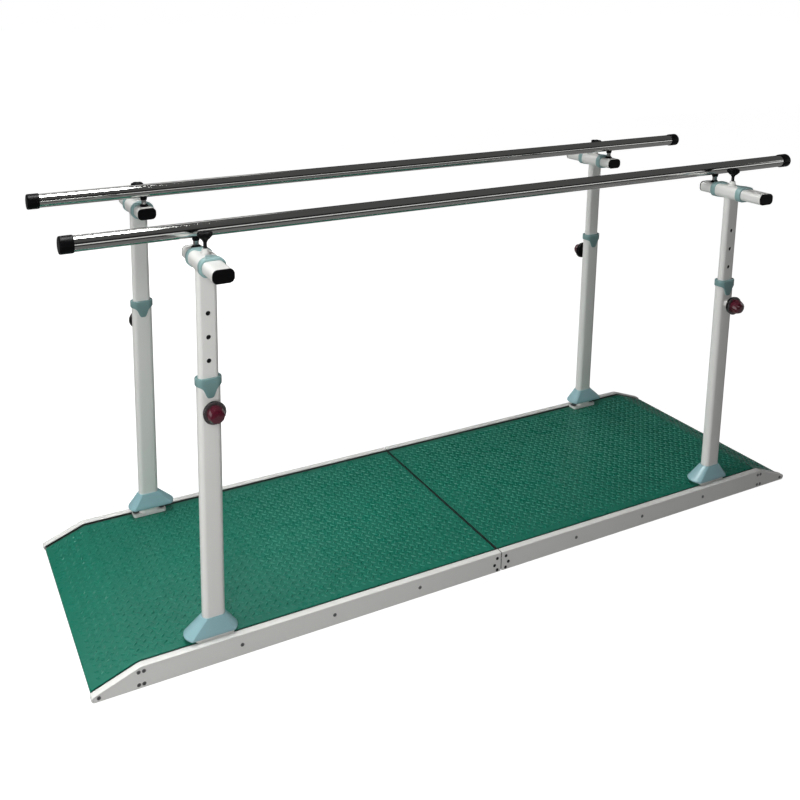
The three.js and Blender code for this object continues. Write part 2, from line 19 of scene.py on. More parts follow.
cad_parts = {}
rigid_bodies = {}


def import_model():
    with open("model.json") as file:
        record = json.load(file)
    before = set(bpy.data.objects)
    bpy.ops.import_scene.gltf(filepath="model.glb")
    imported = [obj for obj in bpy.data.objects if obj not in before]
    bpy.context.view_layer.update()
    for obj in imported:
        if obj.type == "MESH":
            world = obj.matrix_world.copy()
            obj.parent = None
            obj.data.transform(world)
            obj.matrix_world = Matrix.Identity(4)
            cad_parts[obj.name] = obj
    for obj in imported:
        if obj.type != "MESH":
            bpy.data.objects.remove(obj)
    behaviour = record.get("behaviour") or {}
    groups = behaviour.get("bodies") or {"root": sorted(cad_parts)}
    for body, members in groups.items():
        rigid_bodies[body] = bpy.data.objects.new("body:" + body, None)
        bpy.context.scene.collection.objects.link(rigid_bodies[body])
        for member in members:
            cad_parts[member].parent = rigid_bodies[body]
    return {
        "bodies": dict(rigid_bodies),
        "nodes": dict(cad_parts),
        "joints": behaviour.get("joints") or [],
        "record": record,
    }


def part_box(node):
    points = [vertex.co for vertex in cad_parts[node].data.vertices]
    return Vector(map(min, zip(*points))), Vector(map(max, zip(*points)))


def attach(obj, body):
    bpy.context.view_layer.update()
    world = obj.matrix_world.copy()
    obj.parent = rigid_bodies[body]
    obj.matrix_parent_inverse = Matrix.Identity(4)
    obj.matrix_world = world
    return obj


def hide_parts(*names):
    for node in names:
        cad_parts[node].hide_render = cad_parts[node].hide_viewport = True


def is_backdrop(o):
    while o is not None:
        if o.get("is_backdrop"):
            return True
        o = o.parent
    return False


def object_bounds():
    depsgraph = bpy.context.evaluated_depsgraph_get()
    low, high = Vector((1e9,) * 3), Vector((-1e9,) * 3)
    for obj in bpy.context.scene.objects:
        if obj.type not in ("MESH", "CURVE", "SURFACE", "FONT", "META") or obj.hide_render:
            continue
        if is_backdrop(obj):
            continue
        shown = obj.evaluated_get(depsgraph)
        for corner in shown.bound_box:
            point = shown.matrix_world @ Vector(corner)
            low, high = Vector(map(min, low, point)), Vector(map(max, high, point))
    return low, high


LOG = logging.getLogger("walking_bars")
QUARTER = math.pi / 2
WELD_DISTANCE = 2e-6
CREASE = 32.0
WHITE = (1.0, 1.0, 1.0, 1.0)
PLASTIC_IOR = 1.5
PLAY = 0.0003
RIM_EDGE = 0.0004

BMesh = bmesh.types.BMesh
Socket = bpy.types.NodeSocket
Ring = list[Vector]
Rows = Sequence[tuple[float, float]]


class Side(Enum):
    """The long sides of the platform, as the photograph shows them."""

    NEAR = "near"
    FAR = "far"


class End(Enum):
    """The two ends of the walk."""

    LEFT = "left"
    RIGHT = "right"


class Body(Enum):
    """Kinds of the frame's bodies."""

    PLATFORM = "platform"
    LIFT = "lift"
    SLIDE = "slide"
    PIN = "pin"
    CLAMP = "clamp"


class Slot(Enum):
    """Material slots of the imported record."""

    PAINT = "white_paint"
    TREAD = "green_tread"
    BOARD = "board_ply"
    ZINC = "zinc_plate"
    TEAL = "teal_plastic"
    BLACK = "black_plastic"
    PIN = "pin_plastic"
    STEEL = "polished_steel"


# Shader nodes and groups


class Nodes:
    """Adds nodes to one shader tree."""

    def __init__(self, tree: bpy.types.NodeTree) -> None:
        """Keeps the tree."""
        self.tree = tree

    def add(
        self, kind: str, links: dict[str | int, object] | None = None, **settings: object
    ) -> bpy.types.Node:
        """Adds a node, sets its properties and fills its inputs.

        Args:
            kind: The node's type name without its ShaderNode prefix.
            links: Input name or number to an output socket or a plain value.
            **settings: Properties of the node.

        Returns:
            The new node.
        """
        node = self.tree.nodes.new(f"ShaderNode{kind}")
        for key, value in settings.items():
            setattr(node, key, value)
        self.fill(node, links or {})
        return node

    def fill(self, node: bpy.types.Node, links: dict[str | int, object]) -> None:
        """Links output sockets to a node's inputs, or writes plain values there.

        Args:
            node: The node.
            links: Input name or number to an output socket or a plain value.
        """
        for key, value in links.items():
            if isinstance(value, Socket):
                self.tree.links.new(value, node.inputs[key])
            else:
                node.inputs[key].default_value = value

    def math(self, operation: str, *values: object) -> Socket:
        """Adds a math node and gives its result."""
        return self.add("Math", dict(enumerate(values)), operation=operation).outputs[0]

    def place(self) -> Socket:
        """Gives the object's own coordinates."""
        return self.add("TexCoord").outputs["Object"]

    def noise(self, vector: Socket, scale: object, detail: float, roughness: float = 0.5) -> Socket:
        """Adds a noise texture and gives its value."""
        links = {"Vector": vector, "Scale": scale, "Detail": detail, "Roughness": roughness}
        return self.add("TexNoise", links).outputs["Fac"]

    def stretched(self, scale: tuple[float, float, float], detail: float) -> Socket:
        """Gives noise whose grain is stretched along the axes with a small scale."""
        stretch = self.add("Mapping", {"Vector": self.place(), "Scale": scale})
        return self.noise(stretch.outputs["Vector"], 1.0, detail)

    def ramp(self, value: Socket, low: float, high: float) -> Socket:
        """Maps a value's range to 0 to 1."""
        return self.add("MapRange", {"Value": value, "From Min": low, "From Max": high}).outputs[0]

    def mix(self, share: Socket, first: object, second: object) -> Socket:
        """Mixes two colours by a share."""
        return self.add("Mix", {0: share, 6: first, 7: second}, data_type="RGBA").outputs[2]

    def seen_rays(self) -> Socket:
        """Gives a value that is 1 for camera, glossy and transmission rays.

        Returns:
            The output socket.
        """
        rays = self.add("LightPath").outputs
        direct = self.math("MAXIMUM", rays["Is Camera Ray"], rays["Is Glossy Ray"])
        return self.math("MAXIMUM", direct, rays["Is Transmission Ray"])


class Group(Nodes):
    """A shader node group with named inputs and outputs."""

    def __init__(self, name: str, inputs: dict[str, object], outputs: dict[str, str]) -> None:
        """Creates the group and its sockets.

        Args:
            name: The group's name.
            inputs: Default value by input name: a tuple for a colour, or a number.
            outputs: Socket kind by output name: Color, Float or Vector.
        """
        super().__init__(bpy.data.node_groups.new(name, "ShaderNodeTree"))
        sockets = self.tree.interface
        for label, value in inputs.items():
            kind = "NodeSocketColor" if isinstance(value, tuple) else "NodeSocketFloat"
            sockets.new_socket(label, in_out="INPUT", socket_type=kind).default_value = value
        for label, kind in outputs.items():
            sockets.new_socket(label, in_out="OUTPUT", socket_type=f"NodeSocket{kind}")
        self.start = self.tree.nodes.new("NodeGroupInput").outputs
        self.end = self.tree.nodes.new("NodeGroupOutput")

    def toned(self, cloud: Socket, gain: float) -> Socket:
        """Gives the input colour with its value swinging about 1 as a cloud does.

        Args:
            cloud: The noise.
            gain: How strongly the value swings, times the Amount input.

        Returns:
            The output socket.
        """
        swing = self.math("MULTIPLY", self.math("SUBTRACT", cloud, 0.5), self.start["Amount"])
        value = self.math("MULTIPLY_ADD", swing, gain, 1.0)
        return self.add("HueSaturation", {"Color": self.start["Color"], "Value": value}).outputs["Color"]

    def roughened(self, cloud: Socket) -> Socket:
        """Gives the input roughness, spread out as a cloud is."""
        swing = self.math("SUBTRACT", cloud, 0.5)
        return self.math("MULTIPLY_ADD", swing, self.start["Spread"], self.start["Roughness"])

    def bumped(self, strength: object, distance: object, height: Socket) -> Socket:
        """Gives a normal that is bumped by a height."""
        links = {"Strength": strength, "Distance": distance, "Height": height}
        return self.add("Bump", links).outputs["Normal"]

    def finish(self, **sockets: Socket) -> bpy.types.NodeTree:
        """Links the group's outputs and gives its tree."""
        self.fill(self.end, sockets)
        return self.tree


def tone_drift_group() -> bpy.types.NodeTree:
    """Makes the group that lets a colour drift softly over the object.

    Returns:
        The node group.
    """
    inputs = {"Color": (0.8, 0.8, 0.8, 1.0), "Scale": 6.0, "Amount": 0.05}
    group = Group("tone_drift", inputs, {"Color": "Color"})
    cloud = group.noise(group.place(), group.start["Scale"], detail=4.0, roughness=0.6)
    return group.finish(Color=group.toned(cloud, gain=4.0))


def fine_grain_group() -> bpy.types.NodeTree:
    """Makes the group for fine surface grain: a bumped normal and a roughness that varies.

    Returns:
        The node group.
    """
    inputs = {"Scale": 900.0, "Depth": 0.00005, "Strength": 0.4, "Roughness": 0.4, "Spread": 0.1}
    group = Group("fine_grain", inputs, {"Normal": "Vector", "Roughness": "Float"})
    place = group.place()
    grain = group.noise(place, group.start["Scale"], detail=3.0)
    patches = group.noise(place, scale=35.0, detail=5.0)
    normal = group.bumped(group.start["Strength"], group.start["Depth"], grain)
    return group.finish(Normal=normal, Roughness=group.roughened(patches))


def settled_dust_group() -> bpy.types.NodeTree:
    """Makes the group that lays a little pale dust on faces that look up.

    Returns:
        The node group.
    """
    inputs = {"Color": (0.5, 0.5, 0.5, 1.0), "Dust": (0.62, 0.6, 0.55, 1.0), "Amount": 0.1}
    group = Group("settled_dust", inputs, {"Color": "Color"})
    facing = group.add("SeparateXYZ", {"Vector": group.add("NewGeometry").outputs["Normal"]})
    upward = group.ramp(facing.outputs["Z"], low=0.2, high=0.95)
    patches = group.ramp(group.noise(group.place(), scale=14.0, detail=6.0), low=0.35, high=0.75)
    mask = group.math("MULTIPLY", group.math("MULTIPLY", upward, patches), group.start["Amount"])
    return group.finish(Color=group.mix(mask, group.start["Color"], group.start["Dust"]))


def drawn_metal_group() -> bpy.types.NodeTree:
    """Makes the group for drawn and polished tube: faint lines along X in tone and gloss.

    Returns:
        The node group.
    """
    inputs = {"Color": (0.6, 0.6, 0.6, 1.0), "Roughness": 0.15, "Spread": 0.1, "Amount": 0.1}
    outputs = {"Color": "Color", "Roughness": "Float", "Normal": "Vector"}
    group = Group("drawn_metal", inputs, outputs)
    lines = group.stretched(scale=(3.0, 420.0, 420.0), detail=4.0)
    color = group.toned(lines, gain=2.0)
    normal = group.bumped(strength=0.05, distance=0.0001, height=lines)
    return group.finish(Color=color, Roughness=group.roughened(lines), Normal=normal)


# Finishes


def new_material(name: str) -> tuple[bpy.types.Material, Nodes, bpy.types.Node]:
    """Makes a material with a Principled shader.

    Args:
        name: Its name.

    Returns:
        The material, its node adder and its Principled shader.
    """
    made = bpy.data.materials.new(name)
    made.use_nodes = True
    return made, Nodes(made.node_tree), made.node_tree.nodes["Principled BSDF"]


@dataclass(frozen=True)
class Finish:
    """A coat or moulded plastic: one colour that drifts, fine grain and a little dust."""

    name: str
    slot: Slot
    color: tuple[float, float, float]
    roughness: float
    rough_spread: float = 0.1
    drift: float = 0.03
    drift_scale: float = 5.0
    grain_scale: float = 900.0
    grain_depth: float = 0.00004
    grain_strength: float = 0.4
    dust: float = 0.08
    metallic: float = 0.0
    coat: float = 0.0
    coat_roughness: float = 0.2
    specular: float = 0.5
    transmission: float = 0.0

    def material(self, groups: dict[str, bpy.types.NodeTree]) -> bpy.types.Material:
        """Builds the finish's material.

        Args:
            groups: The shared node groups by name.

        Returns:
            The new material.
        """
        made, nodes, shader = new_material(self.name)
        drift = nodes.add(
            "Group",
            {"Color": (*self.color, 1.0), "Scale": self.drift_scale, "Amount": self.drift},
            node_tree=groups["tone_drift"],
        )
        dust = nodes.add(
            "Group",
            {"Color": drift.outputs["Color"], "Amount": self.dust},
            node_tree=groups["settled_dust"],
        )
        grain = nodes.add(
            "Group",
            {
                "Scale": self.grain_scale, "Depth": self.grain_depth, "Strength": self.grain_strength,
                "Roughness": self.roughness, "Spread": self.rough_spread,
            },
            node_tree=groups["fine_grain"],
        )
        self.finish_shader(nodes, shader, dust, grain)
        return made

    def finish_shader(
        self, nodes: Nodes, shader: bpy.types.Node, tone: bpy.types.Node, surface: bpy.types.Node
    ) -> None:
        """Links the varying inputs and writes the values that are the same all over.

        Args:
            nodes: The material's node adder.
            shader: Its Principled shader.
            tone: The group that gives the colour.
            surface: The group that gives roughness and normal.
        """
        nodes.fill(shader, {
            "Base Color": tone.outputs["Color"], "Roughness": surface.outputs["Roughness"],
            "Normal": surface.outputs["Normal"], "Metallic": self.metallic,
            "Specular IOR Level": self.specular, "Coat Weight": self.coat,
            "Coat Roughness": self.coat_roughness, "Transmission Weight": self.transmission,
            "IOR": PLASTIC_IOR,
        })


@dataclass(frozen=True)
class DrawnSteel(Finish):
    """Polished tube steel with faint lines along its length."""

    def material(self, groups: dict[str, bpy.types.NodeTree]) -> bpy.types.Material:
        """Builds the steel's material.

        Args:
            groups: The shared node groups by name.

        Returns:
            The new material.
        """
        made, nodes, shader = new_material(self.name)
        lines = nodes.add(
            "Group",
            {
                "Color": (*self.color, 1.0), "Roughness": self.roughness,
                "Spread": self.rough_spread, "Amount": self.drift,
            },
            node_tree=groups["drawn_metal"],
        )
        self.finish_shader(nodes, shader, lines, lines)
        return made


@dataclass(frozen=True)
class LayeredBoard(Finish):
    """Plywood for the board under the tread, with its plies showing on the edges."""

    figure_scale: tuple[float, float, float] = (4.0, 60.0, 260.0)
    figure_detail: float = 5.0
    shade: float = 0.55

    def material(self, groups: dict[str, bpy.types.NodeTree]) -> bpy.types.Material:
        """Builds the board's material.

        Args:
            groups: The shared node groups by name.

        Returns:
            The new material.
        """
        made = super().material(groups)
        nodes = Nodes(made.node_tree)
        dark = tuple(channel * self.shade for channel in self.color)
        figure = nodes.stretched(self.figure_scale, self.figure_detail)
        mixed = nodes.mix(figure, (*dark, 1.0), (*self.color, 1.0))
        nodes.fill(made.node_tree.nodes["Principled BSDF"], {"Base Color": mixed})
        return made


PAINT = Finish(
    "white_powder_coat", Slot.PAINT, (0.80, 0.80, 0.775), 0.36, drift=0.010, grain_scale=650.0,
    grain_depth=0.00006, grain_strength=0.25, dust=0.03, coat=0.2, coat_roughness=0.15,
)
TREAD = Finish(
    "green_tread_sheet", Slot.TREAD, (0.0130, 0.160, 0.107), 0.28, drift=0.02, drift_scale=2.0,
    grain_scale=700.0, grain_depth=0.00025, grain_strength=0.8, dust=0.0, specular=0.27,
)
TEAL = Finish(
    "blue_green_plastic", Slot.TEAL, (0.265, 0.455, 0.495), 0.42, drift=0.02, grain_scale=1400.0,
    grain_depth=0.00003, dust=0.03, coat=0.3, coat_roughness=0.22,
)
COLLAR = replace(
    TEAL, name="grey_green_plastic", color=(0.180, 0.310, 0.310), roughness=0.38, dust=0.02,
    coat=0.4, coat_roughness=0.2,
)
# A lighter copy of the collar plastic for the sleeve collars: painted light, for the stronger light from
# above on them.
LIT_COLLAR = replace(COLLAR, name="lit_grey_green_plastic", color=(0.260, 0.410, 0.410))
BLACK = Finish(
    "black_plastic", Slot.BLACK, (0.003, 0.003, 0.0035), 0.38, drift=0.05, grain_scale=1500.0,
    dust=0.0, specular=0.10,
)
RUBY = Finish(
    "dark_red_plastic", Slot.PIN, (0.125, 0.010, 0.027), 0.10, rough_spread=0.05, drift=0.15,
    drift_scale=90.0, grain_strength=0.05, dust=0.0, transmission=0.35, coat=0.8,
    coat_roughness=0.04, specular=0.7,
)
SMOKE = Finish(
    "smoky_plastic", Slot.PIN, (0.20, 0.17, 0.18), 0.16, rough_spread=0.05, drift=0.1,
    drift_scale=90.0, grain_strength=0.05, dust=0.0, transmission=0.75, coat=0.5, coat_roughness=0.06,
)
STEEL = DrawnSteel(
    "polished_tube_steel", Slot.STEEL, (0.58, 0.58, 0.565), 0.085, rough_spread=0.06, drift=0.12,
    metallic=1.0,
)
CHROME = DrawnSteel(
    "chrome_plate", Slot.STEEL, (0.55, 0.55, 0.55), 0.12, rough_spread=0.05, drift=0.05, metallic=1.0,
)
ZINC = Finish(
    "zinc_plate", Slot.ZINC, (0.26, 0.26, 0.262), 0.34, drift=0.06, drift_scale=60.0, metallic=1.0,
    dust=0.0,
)
SOOT = Finish(
    "blackened_steel", Slot.ZINC, (0.03, 0.03, 0.032), 0.45, drift=0.1, metallic=0.6, dust=0.0,
)
# Film-faced ply is dark, and this colour is darker still: it paints the shade in the seam and in the gaps
# beside the lips, where the board shows.
BOARD = LayeredBoard(
    "film_faced_plywood", Slot.BOARD, (0.016, 0.014, 0.012), 0.6, drift=0.06, dust=0.0,
)


# Modelling helpers


def polar(radius: float, angle: float) -> Vector:
    """Gives the flat point at a radius and an angle."""
    return radius * Vector((math.cos(angle), math.sin(angle)))


def arc(centre: Vector, radius: float, start: float, stop: float, steps: int) -> list[Vector]:
    """Lists flat points on an arc, its ends included."""
    return [centre + polar(radius, start + (stop - start) * step / steps) for step in range(steps + 1)]


@dataclass(frozen=True)
class Oval:
    """A flat-oval section: a rectangle with large round corners, centred on its axis."""

    width: float
    depth: float
    corner: float
    arc_steps: int = 10
    flat_steps: int = 1

    @property
    def core(self) -> Vector:
        """Centre of the first corner's rounding."""
        return Vector((self.width / 2 - self.corner, self.depth / 2 - self.corner))

    def outline(self, grow: float = 0.0) -> list[Vector]:
        """Walks once round the section.

        Args:
            grow: How far the section grows on every side.

        Returns:
            Points in the section's plane, counter-clockwise from +X.
        """
        core = self.core
        radius = self.corner + grow
        corners = ((1, 1), (-1, 1), (-1, -1), (1, -1))
        centres = [Vector((core.x * right, core.y * up)) for right, up in corners]
        points: list[Vector] = []
        for quarter, centre in enumerate(centres):
            turn = (quarter + 1) * QUARTER
            points += arc(centre, radius, quarter * QUARTER, turn, self.arc_steps)
            start, stop = points[-1], centres[(quarter + 1) % 4] + polar(radius, turn)
            steps = self.flat_steps if quarter % 2 == 0 else 1
            points += [start.lerp(stop, step / steps) for step in range(1, steps)]
        return points

    def across(self, point: Vector) -> float:
        """Measures how far a point lies from the middle of its broad face, along the skin.

        Args:
            point: A point of the outline.

        Returns:
            The distance, which runs on round the corner.
        """
        core = self.core
        beyond = abs(point.x) - core.x
        if beyond <= 0:
            return abs(point.x)
        rise = max(abs(point.y) - core.y, 0.0)
        return core.x + math.atan2(beyond, rise) * math.hypot(beyond, rise)


def tidy(bm: BMesh) -> BMesh:
    """Welds doubles and turns the faces outwards.

    Args:
        bm: The shape.

    Returns:
        The same bmesh.
    """
    bmesh.ops.remove_doubles(bm, verts=bm.verts, dist=WELD_DISTANCE)
    bmesh.ops.dissolve_degenerate(bm, dist=WELD_DISTANCE, edges=bm.edges)
    bmesh.ops.recalc_face_normals(bm, faces=bm.faces)
    return bm


def skin(rings: Sequence[Ring], closed: bool = False) -> BMesh:
    """Skins a stack of rings with equal point counts: one circle, extruded ring by ring.

    Args:
        rings: The rings in order.
        closed: True joins the last ring to the first, as in a tube with a wall; False caps both ends.

    Returns:
        A new bmesh.
    """
    bm = bmesh.new()
    order = bm.verts.layers.int.new("order")
    first = bmesh.ops.create_circle(bm, segments=len(rings[0]), radius=1.0)["verts"]
    for index, vert in enumerate(first):
        vert[order] = index
        vert.co = rings[0][index]
    start = loop = list(bm.edges)
    for ring in rings[1:]:
        grown = bmesh.ops.extrude_edge_only(bm, edges=loop)["geom"]
        for part in grown:
            if isinstance(part, bmesh.types.BMVert):
                part.co = ring[part[order]]
        loop = [part for part in grown if isinstance(part, bmesh.types.BMEdge) and part.is_boundary]
    if closed:
        bmesh.ops.bridge_loops(bm, edges=start + loop)
    else:
        bmesh.ops.contextual_create(bm, geom=start)
        bmesh.ops.contextual_create(bm, geom=loop)
    return tidy(bm)


def stacked(outline: Callable[[float], list[Vector]], rows: Rows, closed: bool = False) -> BMesh:
    """Skins one outline at several growths and heights.

    Args:
        outline: Gives the outline for a growth.
        rows: Growth and height of each ring.
        closed: As in skin.

    Returns:
        A new bmesh.
    """
    return skin([[Vector((*spot, height)) for spot in outline(grow)] for grow, height in rows], closed)


def hollow_tube(section: Oval, wall: float, low: float, high: float) -> BMesh:
    """Makes a hollow tube along Z with softened rims.

    Args:
        section: Its outer section.
        wall: Its wall.
        low: Lowest height.
        high: Highest height.

    Returns:
        A new bmesh.
    """
    edge = RIM_EDGE
    return stacked(section.outline, [
        (0.0, low + edge), (0.0, high - edge), (-edge, high), (-wall + edge, high), (-wall, high - edge),
        (-wall, low + edge), (-wall + edge, low), (-edge, low),
    ], closed=True)


def turned(profile: Rows, steps: int = 48) -> BMesh:
    """Spins a profile about Z.

    Args:
        profile: Radius and height pairs from one end of the profile to the other.
        steps: Steps in the full turn.

    Returns:
        A new bmesh, closed where the profile starts and ends on the axis.
    """
    bm = bmesh.new()
    verts = [bm.verts.new((radius, 0.0, height)) for radius, height in profile]
    edges = [bm.edges.new(pair) for pair in zip(verts, verts[1:])]
    bmesh.ops.spin(
        bm, geom=verts + edges, cent=(0, 0, 0), axis=(0, 0, 1), angle=4 * QUARTER, steps=steps,
        use_merge=True, use_duplicate=False,
    )
    return tidy(bm)


def block(low: Vector, high: Vector, edge: float) -> BMesh:
    """Makes a box with rounded edges.

    Args:
        low: Its lowest corner.
        high: Its highest corner.
        edge: Radius of its edges.

    Returns:
        A new bmesh.
    """
    bm = bmesh.new()
    place = Matrix.Translation((high + low) / 2) @ Matrix.Diagonal((*(high - low), 1.0))
    bmesh.ops.create_cube(bm, size=1.0)
    return tidy(softened(moved(bm, place), edge))


def softened(bm: BMesh, edge: float) -> BMesh:
    """Rounds all edges of a shape.

    Args:
        bm: The shape.
        edge: Radius of the edges.

    Returns:
        The same bmesh.
    """
    bmesh.ops.bevel(
        bm, geom=bm.edges[:], offset=edge, segments=2, affect="EDGES", profile=0.5, material=-1
    )
    return bm


def rod(radius: float, depth: float, segments: int, place: Matrix) -> BMesh:
    """Makes a plain rod about the middle of a place.

    Args:
        radius: Its radius.
        depth: Its length.
        segments: Its sides.
        place: Its middle and its turn, from along Z.

    Returns:
        A new bmesh.
    """
    bm = bmesh.new()
    bmesh.ops.create_cone(
        bm, cap_ends=True, segments=segments, radius1=radius, radius2=radius, depth=depth, matrix=place
    )
    return bm


def moved(bm: BMesh, place: Matrix) -> BMesh:
    """Moves a whole bmesh by a matrix."""
    bmesh.ops.transform(bm, matrix=place, verts=bm.verts)
    return bm


def at(x: float = 0.0, y: float = 0.0, z: float = 0.0) -> Matrix:
    """A move without a turn."""
    return Matrix.Translation((x, y, z))


def mesh_of(name: str, bm: BMesh) -> bpy.types.Mesh:
    """Turns a bmesh into a mesh.

    Args:
        name: The mesh's name.
        bm: The shape. It is freed.

    Returns:
        The new mesh.
    """
    mesh = bpy.data.meshes.new(name)
    bm.to_mesh(mesh)
    bm.free()
    return mesh


def shown(name: str, data: bpy.types.ID) -> bpy.types.Object:
    """Puts an object with its data into the scene.

    Args:
        name: The object's name.
        data: Its mesh, light or camera.

    Returns:
        The new object.
    """
    made = bpy.data.objects.new(name, data)
    bpy.context.scene.collection.objects.link(made)
    return made


def join(*parts: BMesh) -> BMesh:
    """Copies several bmeshes into the first one.

    Args:
        *parts: The shapes. All but the first are freed.

    Returns:
        The first bmesh.
    """
    whole = parts[0]
    for part in parts[1:]:
        carrier = mesh_of("carrier", part)
        whole.from_mesh(carrier)
        bpy.data.meshes.remove(carrier)
    return whole


def modified(work: bpy.types.Object, *helpers: bpy.types.Object) -> BMesh:
    """Applies an object's modifiers, then removes the object and its helpers.

    Args:
        work: The object with the modifiers.
        *helpers: Objects that its modifiers use.

    Returns:
        A new bmesh.
    """
    result = bmesh.new()
    evaluated = work.evaluated_get(bpy.context.evaluated_depsgraph_get())
    result.from_mesh(evaluated.to_mesh())
    evaluated.to_mesh_clear()
    for item in (work, *helpers):
        mesh = item.data
        bpy.data.objects.remove(item)
        bpy.data.meshes.remove(mesh)
    return result


def cut(bm: BMesh, cutter: BMesh) -> BMesh:
    """Cuts one closed shape out of another.

    Args:
        bm: The shape that is cut. It is freed.
        cutter: What is cut away. It is freed.

    Returns:
        A new bmesh.
    """
    work, tool = shown("work", mesh_of("work", bm)), shown("tool", mesh_of("tool", cutter))
    boolean = work.modifiers.new("cut", "BOOLEAN")
    boolean.object = tool
    boolean.operation = "DIFFERENCE"
    boolean.solver = "EXACT"
    return tidy(modified(work, tool))


OUTBOARD = Matrix.Rotation(QUARTER, 4, "X")
INBOARD = Matrix.Rotation(-QUARTER, 4, "X")
ALONG_X = Matrix.Rotation(QUARTER, 4, "Y")


@dataclass(frozen=True)
class Station:
    """One of the four posts. Its own axes stand on the floor, with -Y outboard."""

    side: Side
    end: End

    @property
    def label(self) -> str:
        """Name stem of the post's nodes."""
        return f"{self.side.value}_{self.end.value}"

    def box(self, node: str) -> list[Vector]:
        """Lowest and highest corner of one of the post's nodes."""
        return [Vector(corner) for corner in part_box(f"{self.label}_{node}")]

    @property
    def place(self) -> Matrix:
        """Moves a part from the post's own axes to its place.

        Returns:
            The matrix.
        """
        low, high = self.box("sliding_head")
        middle = (low + high) / 2
        turn = 0.0 if self.side is Side.NEAR else 2 * QUARTER
        return Matrix.Translation((middle.x, middle.y, 0.0)) @ Matrix.Rotation(turn, 4, "Z")

    def body(self, body: Body) -> str:
        """Name of the frame's body that carries a part of this post.

        Args:
            body: The kind of body.

        Returns:
            The body's name in the frame.
        """
        if body is Body.PLATFORM:
            return body.value
        if body in (Body.PIN, Body.CLAMP):
            return f"{self.label}_{body.value}"
        return f"{self.side.value}_{body.value}"

    def level(self, node: str) -> tuple[float, float]:
        """Lowest and highest height of one of the post's nodes."""
        low, high = self.box(node)
        return low.z, high.z

    def middle(self, node: str) -> float:
        """Height of the middle of one of the post's nodes."""
        return sum(self.level(node)) / 2

    def reach(self, node: str) -> list[float]:
        """Outboard and inboard end of one of the post's nodes, along its own Y."""
        local = self.place.inverted()
        return sorted((local @ corner).y for corner in self.box(node))


STATIONS = [Station(side, end) for side in Side for end in End]


class Workshop:
    """Turns finished bmeshes into pieces that ride on the frame."""

    def __init__(self) -> None:
        """Loads the frame and prepares the shared node groups and finishes."""
        self.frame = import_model()
        self.cad_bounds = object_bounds()
        makers = (tone_drift_group, fine_grain_group, settled_dust_group, drawn_metal_group)
        self.groups = {tree.name: tree for tree in (make() for make in makers)}
        self.materials: dict[str, bpy.types.Material] = {}

    def coat(self, finish: Finish) -> bpy.types.Material:
        """Gives the material of a finish, built once.

        Args:
            finish: The finish.

        Returns:
            The material.
        """
        if finish.name not in self.materials:
            self.materials[finish.name] = finish.material(self.groups)
        return self.materials[finish.name]

    def piece(
        self, name: str, bm: BMesh, finish: Finish, body: str, node: str = "", crease: float = CREASE
    ) -> None:
        """Finishes a bmesh as one piece of the object.

        Args:
            name: The piece's name.
            bm: Its shape in the frame's axes. It is freed.
            finish: Its finish.
            body: The frame's body that it rides on.
            node: CAD node that it stands for, if any.
            crease: Angle in degrees above which an edge stays sharp.
        """
        mesh = mesh_of(name, bm)
        for layer in [item for item in mesh.attributes if item.name == "order"]:
            mesh.attributes.remove(layer)
        mesh.polygons.foreach_set("use_smooth", [True] * len(mesh.polygons))
        mesh.set_sharp_from_angle(angle=math.radians(crease))
        mesh.materials.append(self.coat(finish))
        made = shown(name, mesh)
        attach(made, body)
        if node:
            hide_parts(node)
        LOG.info("%s: %d faces, %s, on %s", name, len(mesh.polygons), finish.name, body)

    def dress(self, node: str, finish: Finish) -> None:
        """Gives a CAD node that stays its finish.

        Args:
            node: The node's name.
            finish: The finish.
        """
        for slot in self.frame["nodes"][node].material_slots:
            slot.material = self.coat(finish)
        LOG.info("%s: CAD solid, %s", node, finish.name)


# Platform


@dataclass(frozen=True)
class RampLine:
    """The side line of one half at a depth under the lip: flat, crest bend, ramp and nose."""

    length: float
    height: float
    ramp_run: float = 0.107
    crest_radius: float = 0.030
    tip_radius: float = 0.0075
    seam: float = 0.0015
    bend_steps: int = 8

    @property
    def crest(self) -> Vector:
        """Centre of the crest bend, in x and z."""
        return Vector((self.length - self.ramp_run, self.height - self.crest_radius))

    @property
    def tip(self) -> Vector:
        """Centre of the nose bend, in x and z."""
        return Vector((self.length - self.tip_radius, self.tip_radius))

    @property
    def tilt(self) -> float:
        """Angle of the ramp."""
        gap = self.tip - self.crest
        return math.asin((self.crest_radius - self.tip_radius) / gap.length) - math.atan2(gap.y, gap.x)

    def stations(self, inset: float, nose_end: float, nose_steps: int = 10) -> list[tuple[Vector, Vector]]:
        """Lists points and outward normals along the line.

        Args:
            inset: Depth under the outer line.
            nose_end: Angle at which the nose bend stops, from +X.
            nose_steps: Steps of the nose bend.

        Returns:
            Pairs of point and normal in x and z.
        """
        found = [(Vector((self.seam, self.height - inset)), Vector((0.0, 1.0)))]
        foot = QUARTER - self.tilt
        for centre, radius, start, stop, steps in (
            (self.crest, self.crest_radius - inset, QUARTER, foot, self.bend_steps),
            (self.tip, self.tip_radius - inset, foot, nose_end, nose_steps),
        ):
            for normal in arc(Vector((0.0, 0.0)), 1.0, start, stop, steps):
                found.append((centre + radius * normal, normal))
        return found

    def walk(self, along: float, inset: float) -> tuple[Vector, Vector]:
        """Finds the point and normal at a distance from the seam.

        Args:
            along: Distance along the line.
            inset: Depth under the outer line.

        Returns:
            Point and normal in x and z.
        """
        flat = self.crest.x - self.seam
        radius = self.crest_radius - inset
        bend = radius * self.tilt
        if along <= flat:
            return Vector((self.seam + along, self.height - inset)), Vector((0.0, 1.0))
        if along <= flat + bend:
            normal = polar(1.0, QUARTER - (along - flat) / radius)
            return self.crest + radius * normal, normal
        normal = polar(1.0, QUARTER - self.tilt)
        downhill = Vector((normal.y, -normal.x))
        return self.crest + radius * normal + (along - flat - bend) * downhill, normal


